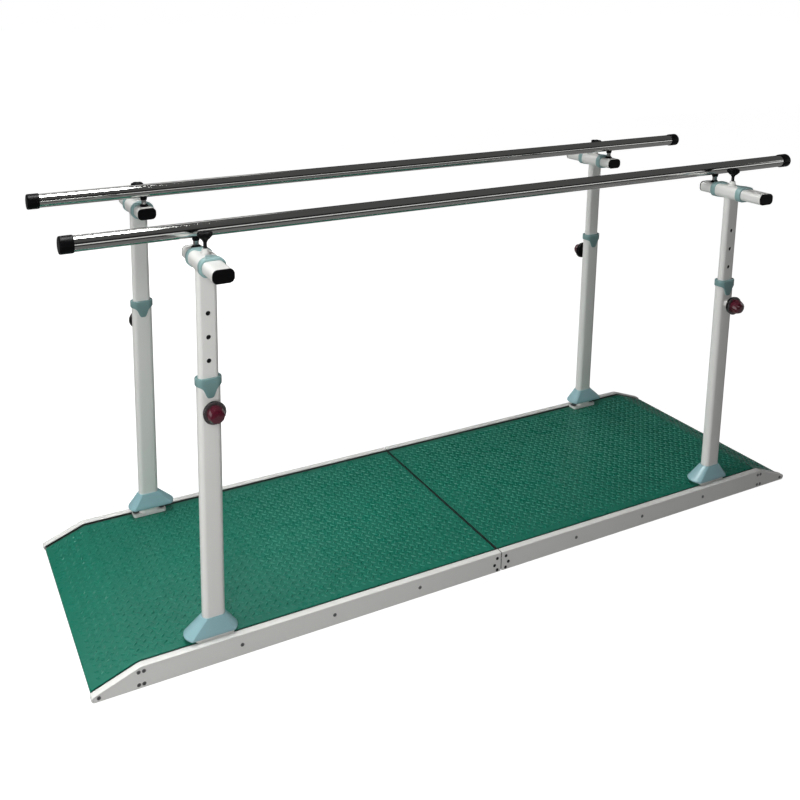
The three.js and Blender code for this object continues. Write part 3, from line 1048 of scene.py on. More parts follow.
@dataclass
class Platform:
    """The ramped platform: treads, edge rails, screws and what lies hidden under them."""

    shop: Workshop
    mat_drop: float = 0.003
    mat_thickness: float = 0.003
    mat_edge: float = 0.0012
    mat_seam: float = 0.0048
    mat_gap: float = 0.0070
    nose_end: float = math.radians(-40)
    pitch: float = 0.020
    lozenge_length: float = 0.0132
    lozenge_width: float = 0.0062
    lozenge_height: float = 0.0016
    lozenge_levels: tuple[tuple[float, float], ...] = ((1.0, -0.1), (0.82, 0.42), (0.25, 1.0))
    lozenge_points: int = 8
    lozenge_margin: float = 0.009
    lip_width: float = 0.016
    lip_thickness: float = 0.0035
    lip_edge: float = 0.0017
    lip_overhang: float = 0.0008
    web_thickness: float = 0.003
    flange_width: float = 0.020
    flange_thickness: float = 0.0025
    flange_stop: float = 0.014
    flange_edge: float = 0.0006
    ledge_low: float = 0.0293
    tip_skin: float = 0.0008
    rail_seam: float = 0.0009
    screw_radius: float = 0.0043
    screw_height: float = 0.0011
    screw_spin: float = 0.7
    screw_steps: int = 32
    screw_row: tuple[float, ...] = (0.233, 0.456, 0.677)
    ramp_screws: tuple[tuple[float, float], ...] = (
        (0.8915, 0.0375), (0.8915, 0.0085), (0.9025, 0.0375), (0.9025, 0.0085), (0.9845, 0.0085),
    )
    tie_screws: tuple[tuple[float, float], ...] = ((0.013, 0.0365), (0.0205, 0.0195), (0.0125, 0.006))
    tie_screw_radius: float = 0.004085
    recess: float = 0.55
    tie_recess: float = 0.6
    recess_scoop: float = 0.42

    def __post_init__(self) -> None:
        """Reads the platform's outer sizes from the frame."""
        rail_low, rail_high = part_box("near_right_edge_rail")
        self.line = RampLine(length=rail_high[0], height=rail_high[2])
        self.half_width = -rail_low[1]
        self.mat_half_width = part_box("right_tread_mat")[1][1] - self.mat_gap

    def build(self) -> None:
        """Builds both halves."""
        for end in End:
            self.build_half(end)
        for side in Side:
            self.shop.dress(f"{side.value}_tie_plate", ZINC)

    def build_half(self, end: End) -> None:
        """Builds the tread, rails and screws of one half.

        Args:
            end: Which half it is.
        """
        turn = Matrix.Rotation(0.0 if end is End.RIGHT else 2 * QUARTER, 4, "Z")
        carrier = Body.PLATFORM.value
        tread = moved(join(self.sheet(), self.lozenges()), turn)
        self.shop.piece(f"{end.value}_tread", tread, TREAD, carrier, f"{end.value}_tread_mat")
        self.shop.dress(f"{end.value}_deck_board", BOARD)
        places = [*((x, self.line.height / 2) for x in self.screw_row), *self.ramp_screws]
        for mirrored in (False, True):
            side = Side.NEAR if mirrored is (end is End.LEFT) else Side.FAR
            label = f"{side.value}_{end.value}"
            flip = turn @ Matrix.Diagonal((1.0, -1.0 if mirrored else 1.0, 1.0, 1.0))
            for name, bm, finish, node in (
                ("side_rail", self.edge_rail(), PAINT, f"{label}_edge_rail"),
                ("side_screws", self.screws(places, self.screw_radius, self.recess), ZINC, ""),
                (
                    "joint_screws",
                    self.screws(self.tie_screws, self.tie_screw_radius, self.tie_recess), SOOT, "",
                ),
            ):
                self.shop.piece(f"{label}_{name}", tidy(moved(bm, flip)), finish, carrier, node)

    def band(
        self, inset: float, thickness: float, half_width: float, middle: float, edge: float,
        nose_end: float, seam: float,
    ) -> BMesh:
        """Sweeps a rounded strip along the side line.

        Args:
            inset: Depth of its top under the outer line.
            thickness: Its thickness.
            half_width: Half its width across.
            middle: Where its middle lies across.
            edge: Radius of its edges.
            nose_end: Angle at which it stops on the nose.
            seam: Where it starts.

        Returns:
            A new bmesh.
        """
        section = Oval(2 * half_width, thickness, edge, arc_steps=4).outline()
        line = replace(self.line, seam=seam)
        rings = [
            [
                Vector((point.x + normal.x * spot.y, middle + spot.x, point.y + normal.y * spot.y))
                for spot in section
            ]
            for point, normal in line.stations(inset + thickness / 2, nose_end)
        ]
        shrunk = Oval(2 * half_width - edge, thickness - edge, edge / 2, arc_steps=4).outline()
        axis = rings[0][0].z - section[0].y
        start = [Vector((seam - edge / 2, middle + spot.x, axis + spot.y)) for spot in shrunk]
        return skin([start, *rings])

    def sheet(self) -> BMesh:
        """Makes the plain tread sheet of the right half, bent over the crest and the nose."""
        return self.band(
            self.mat_drop, self.mat_thickness, self.mat_half_width, 0.0, self.mat_edge, self.nose_end,
            self.mat_seam,
        )

    def lozenges(self) -> BMesh:
        """Lays the raised lozenges on the tread, in two crossed sets, and bends them down the ramp.

        Returns:
            A new bmesh.
        """
        half = self.pitch / 2
        template = join(self.lozenge(QUARTER / 2), moved(self.lozenge(-QUARTER / 2), at(half, half)))
        inset = self.mat_drop
        bent = self.line.crest.x - self.line.seam + (self.line.crest_radius - inset) * self.line.tilt
        slope_end = self.line.stations(inset, QUARTER - self.line.tilt, nose_steps=1)[-1][0]
        usable = bent + (slope_end - self.line.walk(bent, inset)[0]).length - 2 * self.lozenge_margin
        across = 2 * (self.mat_half_width - self.lozenge_margin)
        columns, rows = (int((span - half) // self.pitch) + 1 for span in (usable, across))
        first_row = -((rows - 1) * self.pitch + half) / 2
        field = self.repeated(template, columns, rows)
        for vert in field.verts:
            x, y, z = vert.co
            point, normal = self.line.walk(x + self.lozenge_margin, inset)
            vert.co = (point.x + normal.x * z, y + first_row, point.y + normal.y * z)
        return field

    def lozenge(self, turn: float) -> BMesh:
        """Makes one raised lozenge with soft flanks, slightly sunk in the sheet.

        Args:
            turn: Its direction on the sheet.

        Returns:
            A new bmesh.
        """
        rings = []
        for share, rise in self.lozenge_levels:
            length = self.lozenge_length / 2 * (share * 0.5 + 0.5)
            width = self.lozenge_width / 2 * share
            angles = [4 * QUARTER * step / self.lozenge_points for step in range(self.lozenge_points)]
            rings.append([
                Vector((math.cos(angle) * length, math.sin(angle) * width, rise * self.lozenge_height))
                for angle in angles
            ])
        return moved(skin(rings), Matrix.Rotation(turn, 4, "Z"))

    def repeated(self, template: BMesh, columns: int, rows: int) -> BMesh:
        """Repeats a shape on the tread's grid with two Array modifiers.

        Args:
            template: The shape. It is freed.
            columns: Copies along X.
            rows: Copies along Y.

        Returns:
            A new bmesh.
        """
        holder = shown("template", mesh_of("template", template))
        for count, offset in ((columns, (self.pitch, 0, 0)), (rows, (0, self.pitch, 0))):
            array = holder.modifiers.new("repeat", "ARRAY")
            array.count = count
            array.use_relative_offset = False
            array.use_constant_offset = True
            array.constant_offset_displace = offset
        return modified(holder)

    def edge_rail(self) -> BMesh:
        """Makes the edge rail of the right half on the near side.

        Returns:
            A new bmesh: bullnose lip, web, board ledge and floor flange.
        """
        seam = self.line.seam + self.rail_seam
        middle = -self.half_width + self.lip_width / 2
        lip = self.band(
            0.0, self.lip_thickness, self.lip_width / 2, middle, self.lip_edge, -QUARTER, seam,
        )
        outer = -self.half_width + self.lip_overhang
        inner = outer + self.web_thickness
        outline = [Vector((seam, 0.0)), Vector((self.line.tip.x, 0.0))]
        upper = replace(self.line, seam=seam).stations(self.tip_skin, -QUARTER)
        outline += [point for point, _ in reversed(upper)]
        web = skin([[Vector((spot.x, across, spot.y)) for spot in outline] for across in (outer, inner)])
        end = self.line.crest.x - self.flange_stop
        shelves = [
            block(
                Vector((seam, outer + self.web_thickness / 2, low)),
                Vector((end, inner + self.flange_width, low + self.flange_thickness)),
                self.flange_edge,
            )
            for low in (0.0, self.ledge_low)
        ]
        return join(lip, web, *shelves)

    def screws(self, places: Rows, radius: float, recess: float) -> BMesh:
        """Sets screw heads on the outer face of the near web.

        Args:
            places: Where they sit along X and up Z.
            radius: Radius of the heads.
            recess: Share of the head that its cross covers.

        Returns:
            A new bmesh.
        """
        face = -self.half_width + self.lip_overhang
        heads = []
        for number, (x, z) in enumerate(places):
            spin = Matrix.Rotation(self.screw_spin * number, 4, "Z")
            heads.append(moved(self.screw_head(radius, recess), at(x, face, z) @ OUTBOARD @ spin))
        return join(*heads)

    def screw_head(self, radius: float, recess: float) -> BMesh:
        """Makes a pan head with a cross recess, which sits on Z = 0 with its top towards +Z.

        Args:
            radius: Radius of the head.
            recess: Share of the head that its cross covers.

        Returns:
            A new bmesh.
        """
        rows = [(1.0, -0.3, 0.0), (1.0, 0.25, 0.0), (0.93, 0.62, 0.0), (0.75, 0.9, 0.0), (0.62, 1.0, 0.0)]
        rows += [(recess, 1.0, self.recess_scoop), (recess * 0.9, 0.1, self.recess_scoop)]
        rings = []
        for share, height, scoop in rows:
            ring = []
            for step in range(self.screw_steps):
                angle = 4 * QUARTER * step / self.screw_steps
                reach = radius * share * (1 - scoop * (1 - math.cos(4 * angle)) / 2)
                ring.append(Vector((*polar(reach, angle), height * self.screw_height)))
            rings.append(ring)
        return skin(rings)


# Posts


@dataclass
class PostPart:
    """A sub-assembly of one post, built about the post's own axes."""

    shop: Workshop
    station: Station

    def add(
        self, name: str, bm: BMesh, finish: Finish, body: Body, node: str = "", crease: float = CREASE
    ) -> None:
        """Moves a shape to the post's place and makes it a piece.

        Args:
            name: The piece's name without the post's label.
            bm: Its shape in the post's own axes. It is freed.
            finish: Its finish.
            body: The kind of body that it rides on.
            node: CAD node that it stands for, without the post's label.
            crease: Angle in degrees above which an edge stays sharp.
        """
        label = self.station.label
        stands_for = f"{label}_{node}" if node else ""
        placed = moved(bm, self.station.place)
        self.shop.piece(f"{label}_{name}", placed, finish, self.station.body(body), stands_for, crease)


@dataclass
class FootBoot:
    """The moulded cover at the foot of a post: flat broad faces between two round lobes."""

    tube: Oval
    low: float
    high: float
    foot_length: float = 0.119
    foot_depth: float = 0.046
    foot_flat: float = 0.095
    top_flat: float = 0.034
    top_margin: float = 0.002
    lean: float = 0.0065
    rim_height: float = 0.004
    wall: float = 0.0022
    toe: float = 0.0014
    brim: float = 0.0010
    brim_gap: float = 0.0008
    arris: float = 0.0011
    arris_steps: int = 3
    lobe_steps: int = 14
    levels: int = 6

    def section(self, height: float, grow: float) -> Ring:
        """Gives the boot's section at a height above its foot.

        Args:
            height: Height above the foot.
            grow: Growth on every side.

        Returns:
            Points of the section, each end an arc between two soft arrises.
        """
        share = max(height - self.rim_height, 0.0) / (self.high - self.low - self.rim_height)
        reach = self.blend(self.foot_length / 2, self.tube.width / 2 + self.top_margin, share) + grow
        face = self.blend(self.foot_depth / 2, self.tube.depth / 2 + self.top_margin, share) + grow
        flat = self.blend(self.foot_flat / 2, self.top_flat / 2, share) + grow / 2
        shift = -self.blend(self.lean, 0.0, share)
        radius = ((reach - flat) ** 2 + face**2) / (2 * (reach - flat))
        middle = reach - radius
        inset = face - self.arris
        corner = middle + math.sqrt((radius - self.arris) ** 2 - inset**2)
        sweep = math.atan2(inset, corner - middle)
        end = arc(Vector((corner, -inset)), self.arris, -QUARTER, -sweep, self.arris_steps)
        end += arc(Vector((middle, 0.0)), radius, -sweep, sweep, self.lobe_steps)[1:-1]
        end += arc(Vector((corner, inset)), self.arris, sweep, QUARTER, self.arris_steps)
        ring = end + [-spot for spot in end]
        return [Vector((spot.x + shift, spot.y, self.low + height)) for spot in ring]

    def opening(self, height: float, grow: float) -> Ring:
        """Gives the line round the tube, with as many points as the boot's section.

        Args:
            height: Height above the foot.
            grow: Gap to the tube.

        Returns:
            Points of the line.
        """
        steps = 2 * self.arris_steps + self.lobe_steps
        core = self.tube.core
        lobe = arc(Vector((core.x, 0.0)), self.tube.corner + grow, -QUARTER, QUARTER, steps)
        end = []
        for step, spot in enumerate(lobe):
            side = (2 * step > steps) - (2 * step < steps)
            end.append(Vector((spot.x, spot.y + side * core.y)))
        return [Vector((*spot, self.low + height)) for spot in end + [-spot for spot in end]]

    @staticmethod
    def blend(a: float, b: float, share: float) -> float:
        """Mixes two lengths."""
        return a + (b - a) * share

    def build(self) -> BMesh:
        """Builds the hollow boot about the post's axis.

        Returns:
            A new bmesh.
        """
        height = self.high - self.low
        inside = height - self.wall
        flat = height - self.brim
        toe, brim = (arc(Vector((0.0, 0.0)), radius, 0.0, QUARTER, 3) for radius in (self.toe, self.brim))
        rows = [(self.toe - spot.x, spot.y - self.toe) for spot in toe]
        rows += [
            (self.blend(self.rim_height, flat, level / self.levels), 0.0) for level in range(self.levels + 1)
        ]
        rows += [(flat + spot.y, spot.x - self.brim) for spot in brim[1:]]
        rings = [self.section(*row) for row in rows]
        rings += [
            self.opening(*row) for row in ((height, self.brim_gap), (height - 0.0005, PLAY), (inside, PLAY))
        ]
        rings += [self.section(level, -self.wall) for level in (inside, self.rim_height, 0.0)]
        return skin(rings, closed=True)


@dataclass
class TongueCollar:
    """A moulded collar for the open end of a tube: band, two tongues and a bush."""

    tube: Oval
    wall: float
    through: Oval
    margin: float
    flange: float
    band: float
    tongue: float
    tongue_half: float
    sharpness: float
    rounding: float = 0.0009
    bevel: float = 0.0015
    bush: float = 0.012

    def drop(self, point: Vector) -> float:
        """How far the collar's lower edge hangs at a point, as a smooth tongue."""
        across = self.tube.across(point) / self.tongue_half
        return self.tongue / (1 + across**self.sharpness)

    def build(self) -> BMesh:
        """Builds the collar for a tube that points along +Z and ends at Z = 0.

        Returns:
            A new bmesh.
        """
        tube, through, skirt, edge = self.tube, self.through, self.flange - self.band, self.rounding
        seat = -self.wall - PLAY
        rows = [
            (through, PLAY, -self.bush, False),
            (through, PLAY, self.flange - edge * 0.8, False),
            (through, PLAY + edge * 0.8, self.flange, False),
            (tube, self.margin - self.bevel, self.flange, False),
            (tube, self.margin - self.bevel * 0.55, self.flange - self.bevel * 0.15, False),
            (tube, self.margin - self.bevel * 0.15, self.flange - self.bevel * 0.55, False),
            (tube, self.margin, self.flange - self.bevel, False),
            (tube, self.margin, self.flange - self.band * 0.6, False),
            (tube, self.margin, skirt + edge, True),
            (tube, self.margin - edge * 0.3, skirt + edge * 0.3, True),
            (tube, self.margin - edge, skirt, True),
            (tube, PLAY, skirt, True),
            (tube, PLAY, PLAY, False),
            (tube, seat, PLAY, False),
            (tube, seat, -self.bush, False),
        ]
        falls = [self.drop(point) for point in tube.outline()]
        rings = []
        for section, grow, height, hangs in rows:
            spots = zip(section.outline(grow), falls)
            rings.append([Vector((*spot, height - (fall if hangs else 0.0))) for spot, fall in spots])
        return skin(rings, closed=True)


@dataclass
class Post(PostPart):
    """One post from its base plate to the pull pin: what stays on the platform."""

    tube: Oval = Oval(0.050, 0.025, 0.0115, flat_steps=44)
    wall: float = 0.0015
    plate: Oval = Oval(0.086, 0.031, 0.006)
    plate_thickness: float = 0.008
    plate_edge: float = 0.0008
    bolt_offset: float = 0.034
    bolt_radius: float = 0.0065
    bolt_height: float = 0.0045
    bolt_middle: float = 0.0036
    bolt_edge: float = 0.0005
    washer_radius: float = 0.0085
    washer_top: float = 0.0014
    washer_steps: int = 32
    boss_radius: float = 0.008
    boss_length: float = 0.009
    bore: float = 0.0043
    weld: float = 0.0028
    inner: Oval = Oval(0.0434, 0.0184, 0.0091, flat_steps=44)
    collar_margin: float = 0.003
    collar_band: float = 0.0155
    tongue: float = 0.026
    tongue_half: float = 0.0119
    tongue_sharpness: float = 4.4
    boot_crease: float = 24.0

    def build(self) -> None:
        """Builds the tube, base plate, bolts, boot and collar."""
        low, high = self.station.level("outer_tube")
        pin_height = self.station.middle("pull_pin")
        plate_top = low + self.plate_thickness
        plain = replace(self.tube, flat_steps=1)
        tube = hollow_tube(plain, self.wall, plate_top - 0.0005, high)
        inside, outside = self.tube.depth / 2 - 2 * self.wall, self.tube.depth / 2 + self.wall
        drill = turned([(0.0, inside), (self.bore, inside), (self.bore, outside), (0.0, outside)])
        bored = cut(tube, moved(drill, at(z=pin_height) @ OUTBOARD))
        upright = join(bored, self.base_plate(low, plain), self.pin_boss(pin_height))
        self.add("post", upright, PAINT, Body.PLATFORM, "outer_tube")
        spots = (-self.bolt_offset, self.bolt_offset)
        bolts = join(*(moved(self.bolt(), at(x, 0.0, plate_top)) for x in spots))
        self.add("base_bolts", bolts, ZINC, Body.PLATFORM)
        boot = FootBoot(self.tube, *self.station.level("foot_cover")).build()
        self.add("boot", boot, TEAL, Body.PLATFORM, "foot_cover", self.boot_crease)
        collar = TongueCollar(
            self.tube, self.wall, self.inner, self.collar_margin,
            self.station.level("post_collar")[1] - high, self.collar_band, self.tongue,
            self.tongue_half, self.tongue_sharpness,
        )
        self.add("top_collar", moved(collar.build(), at(z=high)), COLLAR, Body.PLATFORM, "post_collar")

    def base_plate(self, low: float, tube: Oval) -> BMesh:
        """Makes the plate under the tube with softened edges and a weld bead.

        Args:
            low: Height of the plate's underside.
            tube: The post's plain section.

        Returns:
            A new bmesh.
        """
        edge = self.plate_edge
        top = low + self.plate_thickness
        rows = [(-edge, low), (0.0, low + edge), (0.0, top - edge), (-edge, top)]
        bead = [
            (0.0022, top - 0.0003), (0.0016, top + 0.0012), (0.0004, top + 0.0024),
            (-0.0004, top + 0.0024), (-0.0004, top - 0.0003),
        ]
        return join(stacked(self.plate.outline, rows), stacked(tube.outline, bead, closed=True))

    def pin_boss(self, height: float) -> BMesh:
        """Makes the welded boss that guides the pull pin, on the outboard face.

        Args:
            height: Height of the pin's axis.

        Returns:
            A new bmesh.
        """
        face = self.tube.depth / 2
        reach = face + self.boss_length
        bore, radius = self.bore, self.boss_radius
        return moved(turned([
            (bore, face - self.wall), (bore, reach - 0.0006), (bore + 0.0006, reach),
            (radius - 0.0008, reach), (radius, reach - 0.0008), (radius, face + self.weld),
            (radius + 0.0008, face + 0.0012), (radius + self.weld, face + 0.0002),
            (radius + self.weld, face - 0.0004), (bore, face - self.wall),
        ]), at(z=height) @ OUTBOARD)

    def bolt(self) -> BMesh:
        """Makes a hexagon bolt head on a washer.

        Returns:
            A new bmesh.
        """
        radius, top = self.washer_radius, self.washer_top
        washer = turned([
            (0.0, -0.0003), (radius, -0.0003), (radius, top - 0.0004), (radius - 0.0007, top), (0.0, top),
        ], self.washer_steps)
        hexagon = rod(self.bolt_radius, self.bolt_height, 6, at(z=self.bolt_middle))
        return join(washer, softened(hexagon, self.bolt_edge))


@dataclass
class Head(PostPart):
    """The inner tube with its cross sleeve, boss and height holes, and the sleeve collars."""

    inner: Oval = Oval(0.0434, 0.0184, 0.0091)
    wall: float = 0.0015
    sleeve: Oval = Oval(0.0512, 0.0342, 0.0141, flat_steps=34)
    slide: Oval = Oval(0.045, 0.028, 0.011, flat_steps=34)
    half_length: float = 0.044
    hole_radius: float = 0.005
    hole_steps: int = 40
    hole_pitch: float = 0.050
    holes_below: int = 3
    holes_above: int = 4
    boss_base: float = 0.009
    boss_top: float = 0.0065
    boss_height: float = 0.011
    stud_radius: float = 0.004
    # Section, wall and end gaps of the dark liner that paints the shade inside the inner tube.
    shade_liner: Oval = Oval(0.0398, 0.0050, 0.0024)
    liner_wall: float = 0.0008
    liner_gap: float = 0.001
    collar_margin: float = 0.002
    collar_flange: float = 0.002
    collar_band: float = 0.014
    tongue: float = 0.0145
    tongue_half: float = 0.0095
    tongue_sharpness: float = 5.0

    def build(self) -> None:
        """Builds the head, a dark liner inside it that paints the shade in the tube and stands in part for
        its bare steel, and its two collars.
        """
        low, _ = self.station.level("sliding_head")
        axis = self.station.middle("slide_tube")
        head = join(self.stem(low, axis), self.cross_sleeve(axis), self.boss(axis))
        self.add("head", head, PAINT, Body.LIFT, "sliding_head")
        top = axis - self.sleeve.depth / 2
        # Painted shade: a dark hollow liner in the inner tube darkens what the holes show; in part it stands
        # for the tube's bare steel inside.
        shade_liner = hollow_tube(self.shade_liner, self.liner_wall, low + self.liner_gap, top - self.liner_gap)
        self.add("head_shade_liner", shade_liner, SOOT, Body.LIFT)
        collar = TongueCollar(
            self.sleeve, self.wall, self.slide, self.collar_margin, self.collar_flange,
            self.collar_band, self.tongue, self.tongue_half, self.tongue_sharpness,
        )
        # The sleeve collars take the lighter copy of the collar plastic, which paints the light from above.
        for name, turn, way in (("outboard", OUTBOARD, -1), ("inboard", INBOARD, 1)):
            ring = moved(collar.build(), at(y=way * self.half_length, z=axis) @ turn)
            self.add(f"{name}_collar", ring, LIT_COLLAR, Body.LIFT, f"{name}_sleeve_collar")

    def stem(self, low: float, axis: float) -> BMesh:
        """Makes the inner tube with its holes, coped to the sleeve.

        Args:
            low: Height of its lower end.
            axis: Height of the sleeve's axis.

        Returns:
            A new bmesh.
        """
        pin, depth = self.station.middle("pull_pin"), self.inner.depth
        heights = [pin + step * self.hole_pitch for step in range(-self.holes_below, self.holes_above + 1)]
        drills = [
            rod(self.hole_radius, depth, self.hole_steps, at(y=-depth / 2, z=height) @ OUTBOARD)
            for height in heights
        ]
        ends = (-self.half_length, self.half_length)
        bore = stacked(self.sleeve.outline, [(-self.wall / 2, end) for end in ends])
        drills.append(moved(bore, at(z=axis) @ OUTBOARD))
        return cut(hollow_tube(self.inner, self.wall, low, axis), join(*drills))

    def cross_sleeve(self, axis: float) -> BMesh:
        """Makes the sleeve along Y and the weld bead round the inner tube.

        Args:
            axis: Height of the sleeve's axis.

        Returns:
            A new bmesh.
        """
        plain = replace(self.sleeve, flat_steps=1)
        sleeve = hollow_tube(plain, self.wall, -self.half_length, self.half_length)
        rows = ((0.0024, 0.0012), (0.0014, -0.0008), (0.0, -0.0024), (-0.001, -0.0024), (-0.001, 0.003))
        bead = [
            [Vector((*spot, axis + self.underside(spot.x) + rise)) for spot in self.inner.outline(grow)]
            for grow, rise in rows
        ]
        return join(moved(sleeve, at(z=axis) @ OUTBOARD), skin(bead, closed=True))

    def underside(self, x: float) -> float:
        """Height of the sleeve's lower skin at a place across, from its axis.

        Args:
            x: Distance from the post's middle.

        Returns:
            The height, which is negative.
        """
        corner = self.sleeve.corner
        beyond = max(abs(x) - self.sleeve.core.x, 0.0)
        return corner - math.sqrt(max(corner**2 - beyond**2, 0.0)) - self.sleeve.depth / 2

    def boss(self, axis: float) -> BMesh:
        """Makes the conical boss that holds the clamp's stud.

        Args:
            axis: Height of the sleeve's axis.

        Returns:
            A new bmesh.
        """
        bore, base, top, height = self.stud_radius + PLAY, self.boss_base, self.boss_top, self.boss_height
        return moved(turned([
            (bore, -self.wall), (bore, height), (top - 0.0006, height), (top, height - 0.0006),
            (base - 0.0008, 0.002), (base + 0.0012, 0.0004), (base + 0.0026, -0.0003),
            (base, -self.wall), (bore, -self.wall),
        ]), at(z=axis + self.sleeve.depth / 2))


@dataclass
class SlideTube(PostPart):
    """The tube that carries the handrail through the sleeve, with its two end plugs."""

    section: Oval = Oval(0.045, 0.028, 0.011)
    wall: float = 0.0015
    flange: float = 0.003
    insert: float = 0.014

    def build(self) -> None:
        """Builds the tube and its plugs."""
        outer, inner = self.station.reach("slide_tube")
        axis = self.station.middle("slide_tube")
        tube = moved(hollow_tube(self.section, self.wall, -inner, -outer), at(z=axis) @ OUTBOARD)
        self.add("cross_tube", tube, PAINT, Body.SLIDE, "slide_tube")
        for name, turn, end in (("outboard", OUTBOARD, outer), ("inboard", INBOARD, inner)):
            plug = moved(self.plug(), at(y=end, z=axis) @ turn)
            self.add(f"{name}_plug", plug, BLACK, Body.SLIDE, f"{name}_end_plug")

    def plug(self) -> BMesh:
        """Makes a plug for a tube that points along +Z: pillowed flange and plain insert.

        Returns:
            A new bmesh.
        """
        top = PLAY + self.flange
        inside = -self.wall - PLAY
        return stacked(self.section.outline, [
            (inside - 0.0022, -self.insert), (inside, -self.insert), (inside, PLAY), (0.0, PLAY),
            (0.0001, PLAY + 0.0006), (0.0, top - 0.0012), (-0.0004, top - 0.0005),
            (-0.0012, top - 0.0001), (-0.003, top), (-0.0065, top - 0.0002),
        ])


@dataclass
class ClampKnob(PostPart):
    """The star knob with its hub and stud."""

    lobes: int = 5
    radius: float = 0.016
    lobe_depth: float = 0.0036
    lobe_sharpness: float = 1.4
    stud_radius: float = 0.004
    hub_radius: float = 0.007
    hub_height: float = 0.004
    head_height: float = 0.016
    rounding: float = 0.0032
    thread_pitch: float = 0.00125
    thread_depth: float = 0.0006
    steps: int = 90
    stud_steps: int = 32

    def build(self) -> None:
        """Builds the knob head and its stud."""
        low, high = self.station.level("clamp_knob")
        base = high - self.head_height
        self.add("star_knob", join(self.star(base, high), self.hub(base)), BLACK, Body.CLAMP, "clamp_knob")
        self.add("star_stud", self.threaded_stud(low, base - 0.001), SOOT, Body.CLAMP)

    def outline(self, grow: float) -> list[Vector]:
        """Gives the star's outline.

        Args:
            grow: Growth on every side.

        Returns:
            Points of the outline.
        """
        points = []
        for step in range(self.steps):
            angle = 4 * QUARTER * step / self.steps
            scoop = ((1 - math.cos(self.lobes * angle)) / 2) ** self.lobe_sharpness
            points.append(polar(self.radius + grow - self.lobe_depth * scoop, angle))
        return points

    def star(self, low: float, high: float) -> BMesh:
        """Makes the lobed head with rounded rims and a shallow dish on top.

        Args:
            low: Height of its lower end.
            high: Height of its upper end.

        Returns:
            A new bmesh.
        """
        edge = self.rounding
        return stacked(self.outline, [
            (-0.0085, low), (-0.0075, low + 0.0004), (-0.0040, low + 0.0040), (-0.0012, low + 0.0068),
            (0.0, low + 0.0090), (0.0, high - edge), (-edge * 0.3, high - edge * 0.3), (-edge, high),
            (-0.0058, high), (-0.0066, high - 0.0008), (-0.0100, high - 0.0010),
        ])

    def hub(self, low: float) -> BMesh:
        """Makes the cone under the head.

        Args:
            low: Height of the head's underside.

        Returns:
            A new bmesh.
        """
        radius, foot = self.hub_radius, low - self.hub_height
        return turned([
            (0.0, foot), (radius - 0.0026, foot), (radius - 0.0020, foot + 0.0004), (radius - 0.0008, low),
            (radius, low + 0.0015), (0.0, low + 0.0015),
        ])

    def threaded_stud(self, low: float, high: float) -> BMesh:
        """Makes the stud with rings that read as a thread.

        Args:
            low: Height of its lower end.
            high: Height of its upper end.

        Returns:
            A new bmesh.
        """
        pitch, crest = self.thread_pitch, self.stud_radius
        root = crest - self.thread_depth
        profile = [(0.0, low), (root, low)]
        for turn in range(int((high - low) / pitch)):
            base = low + turn * pitch
            profile += [(root, base + pitch * 0.1), (crest, base + pitch * 0.45), (crest, base + pitch * 0.6)]
        return turned([*profile, (root, high), (0.0, high)], self.stud_steps)


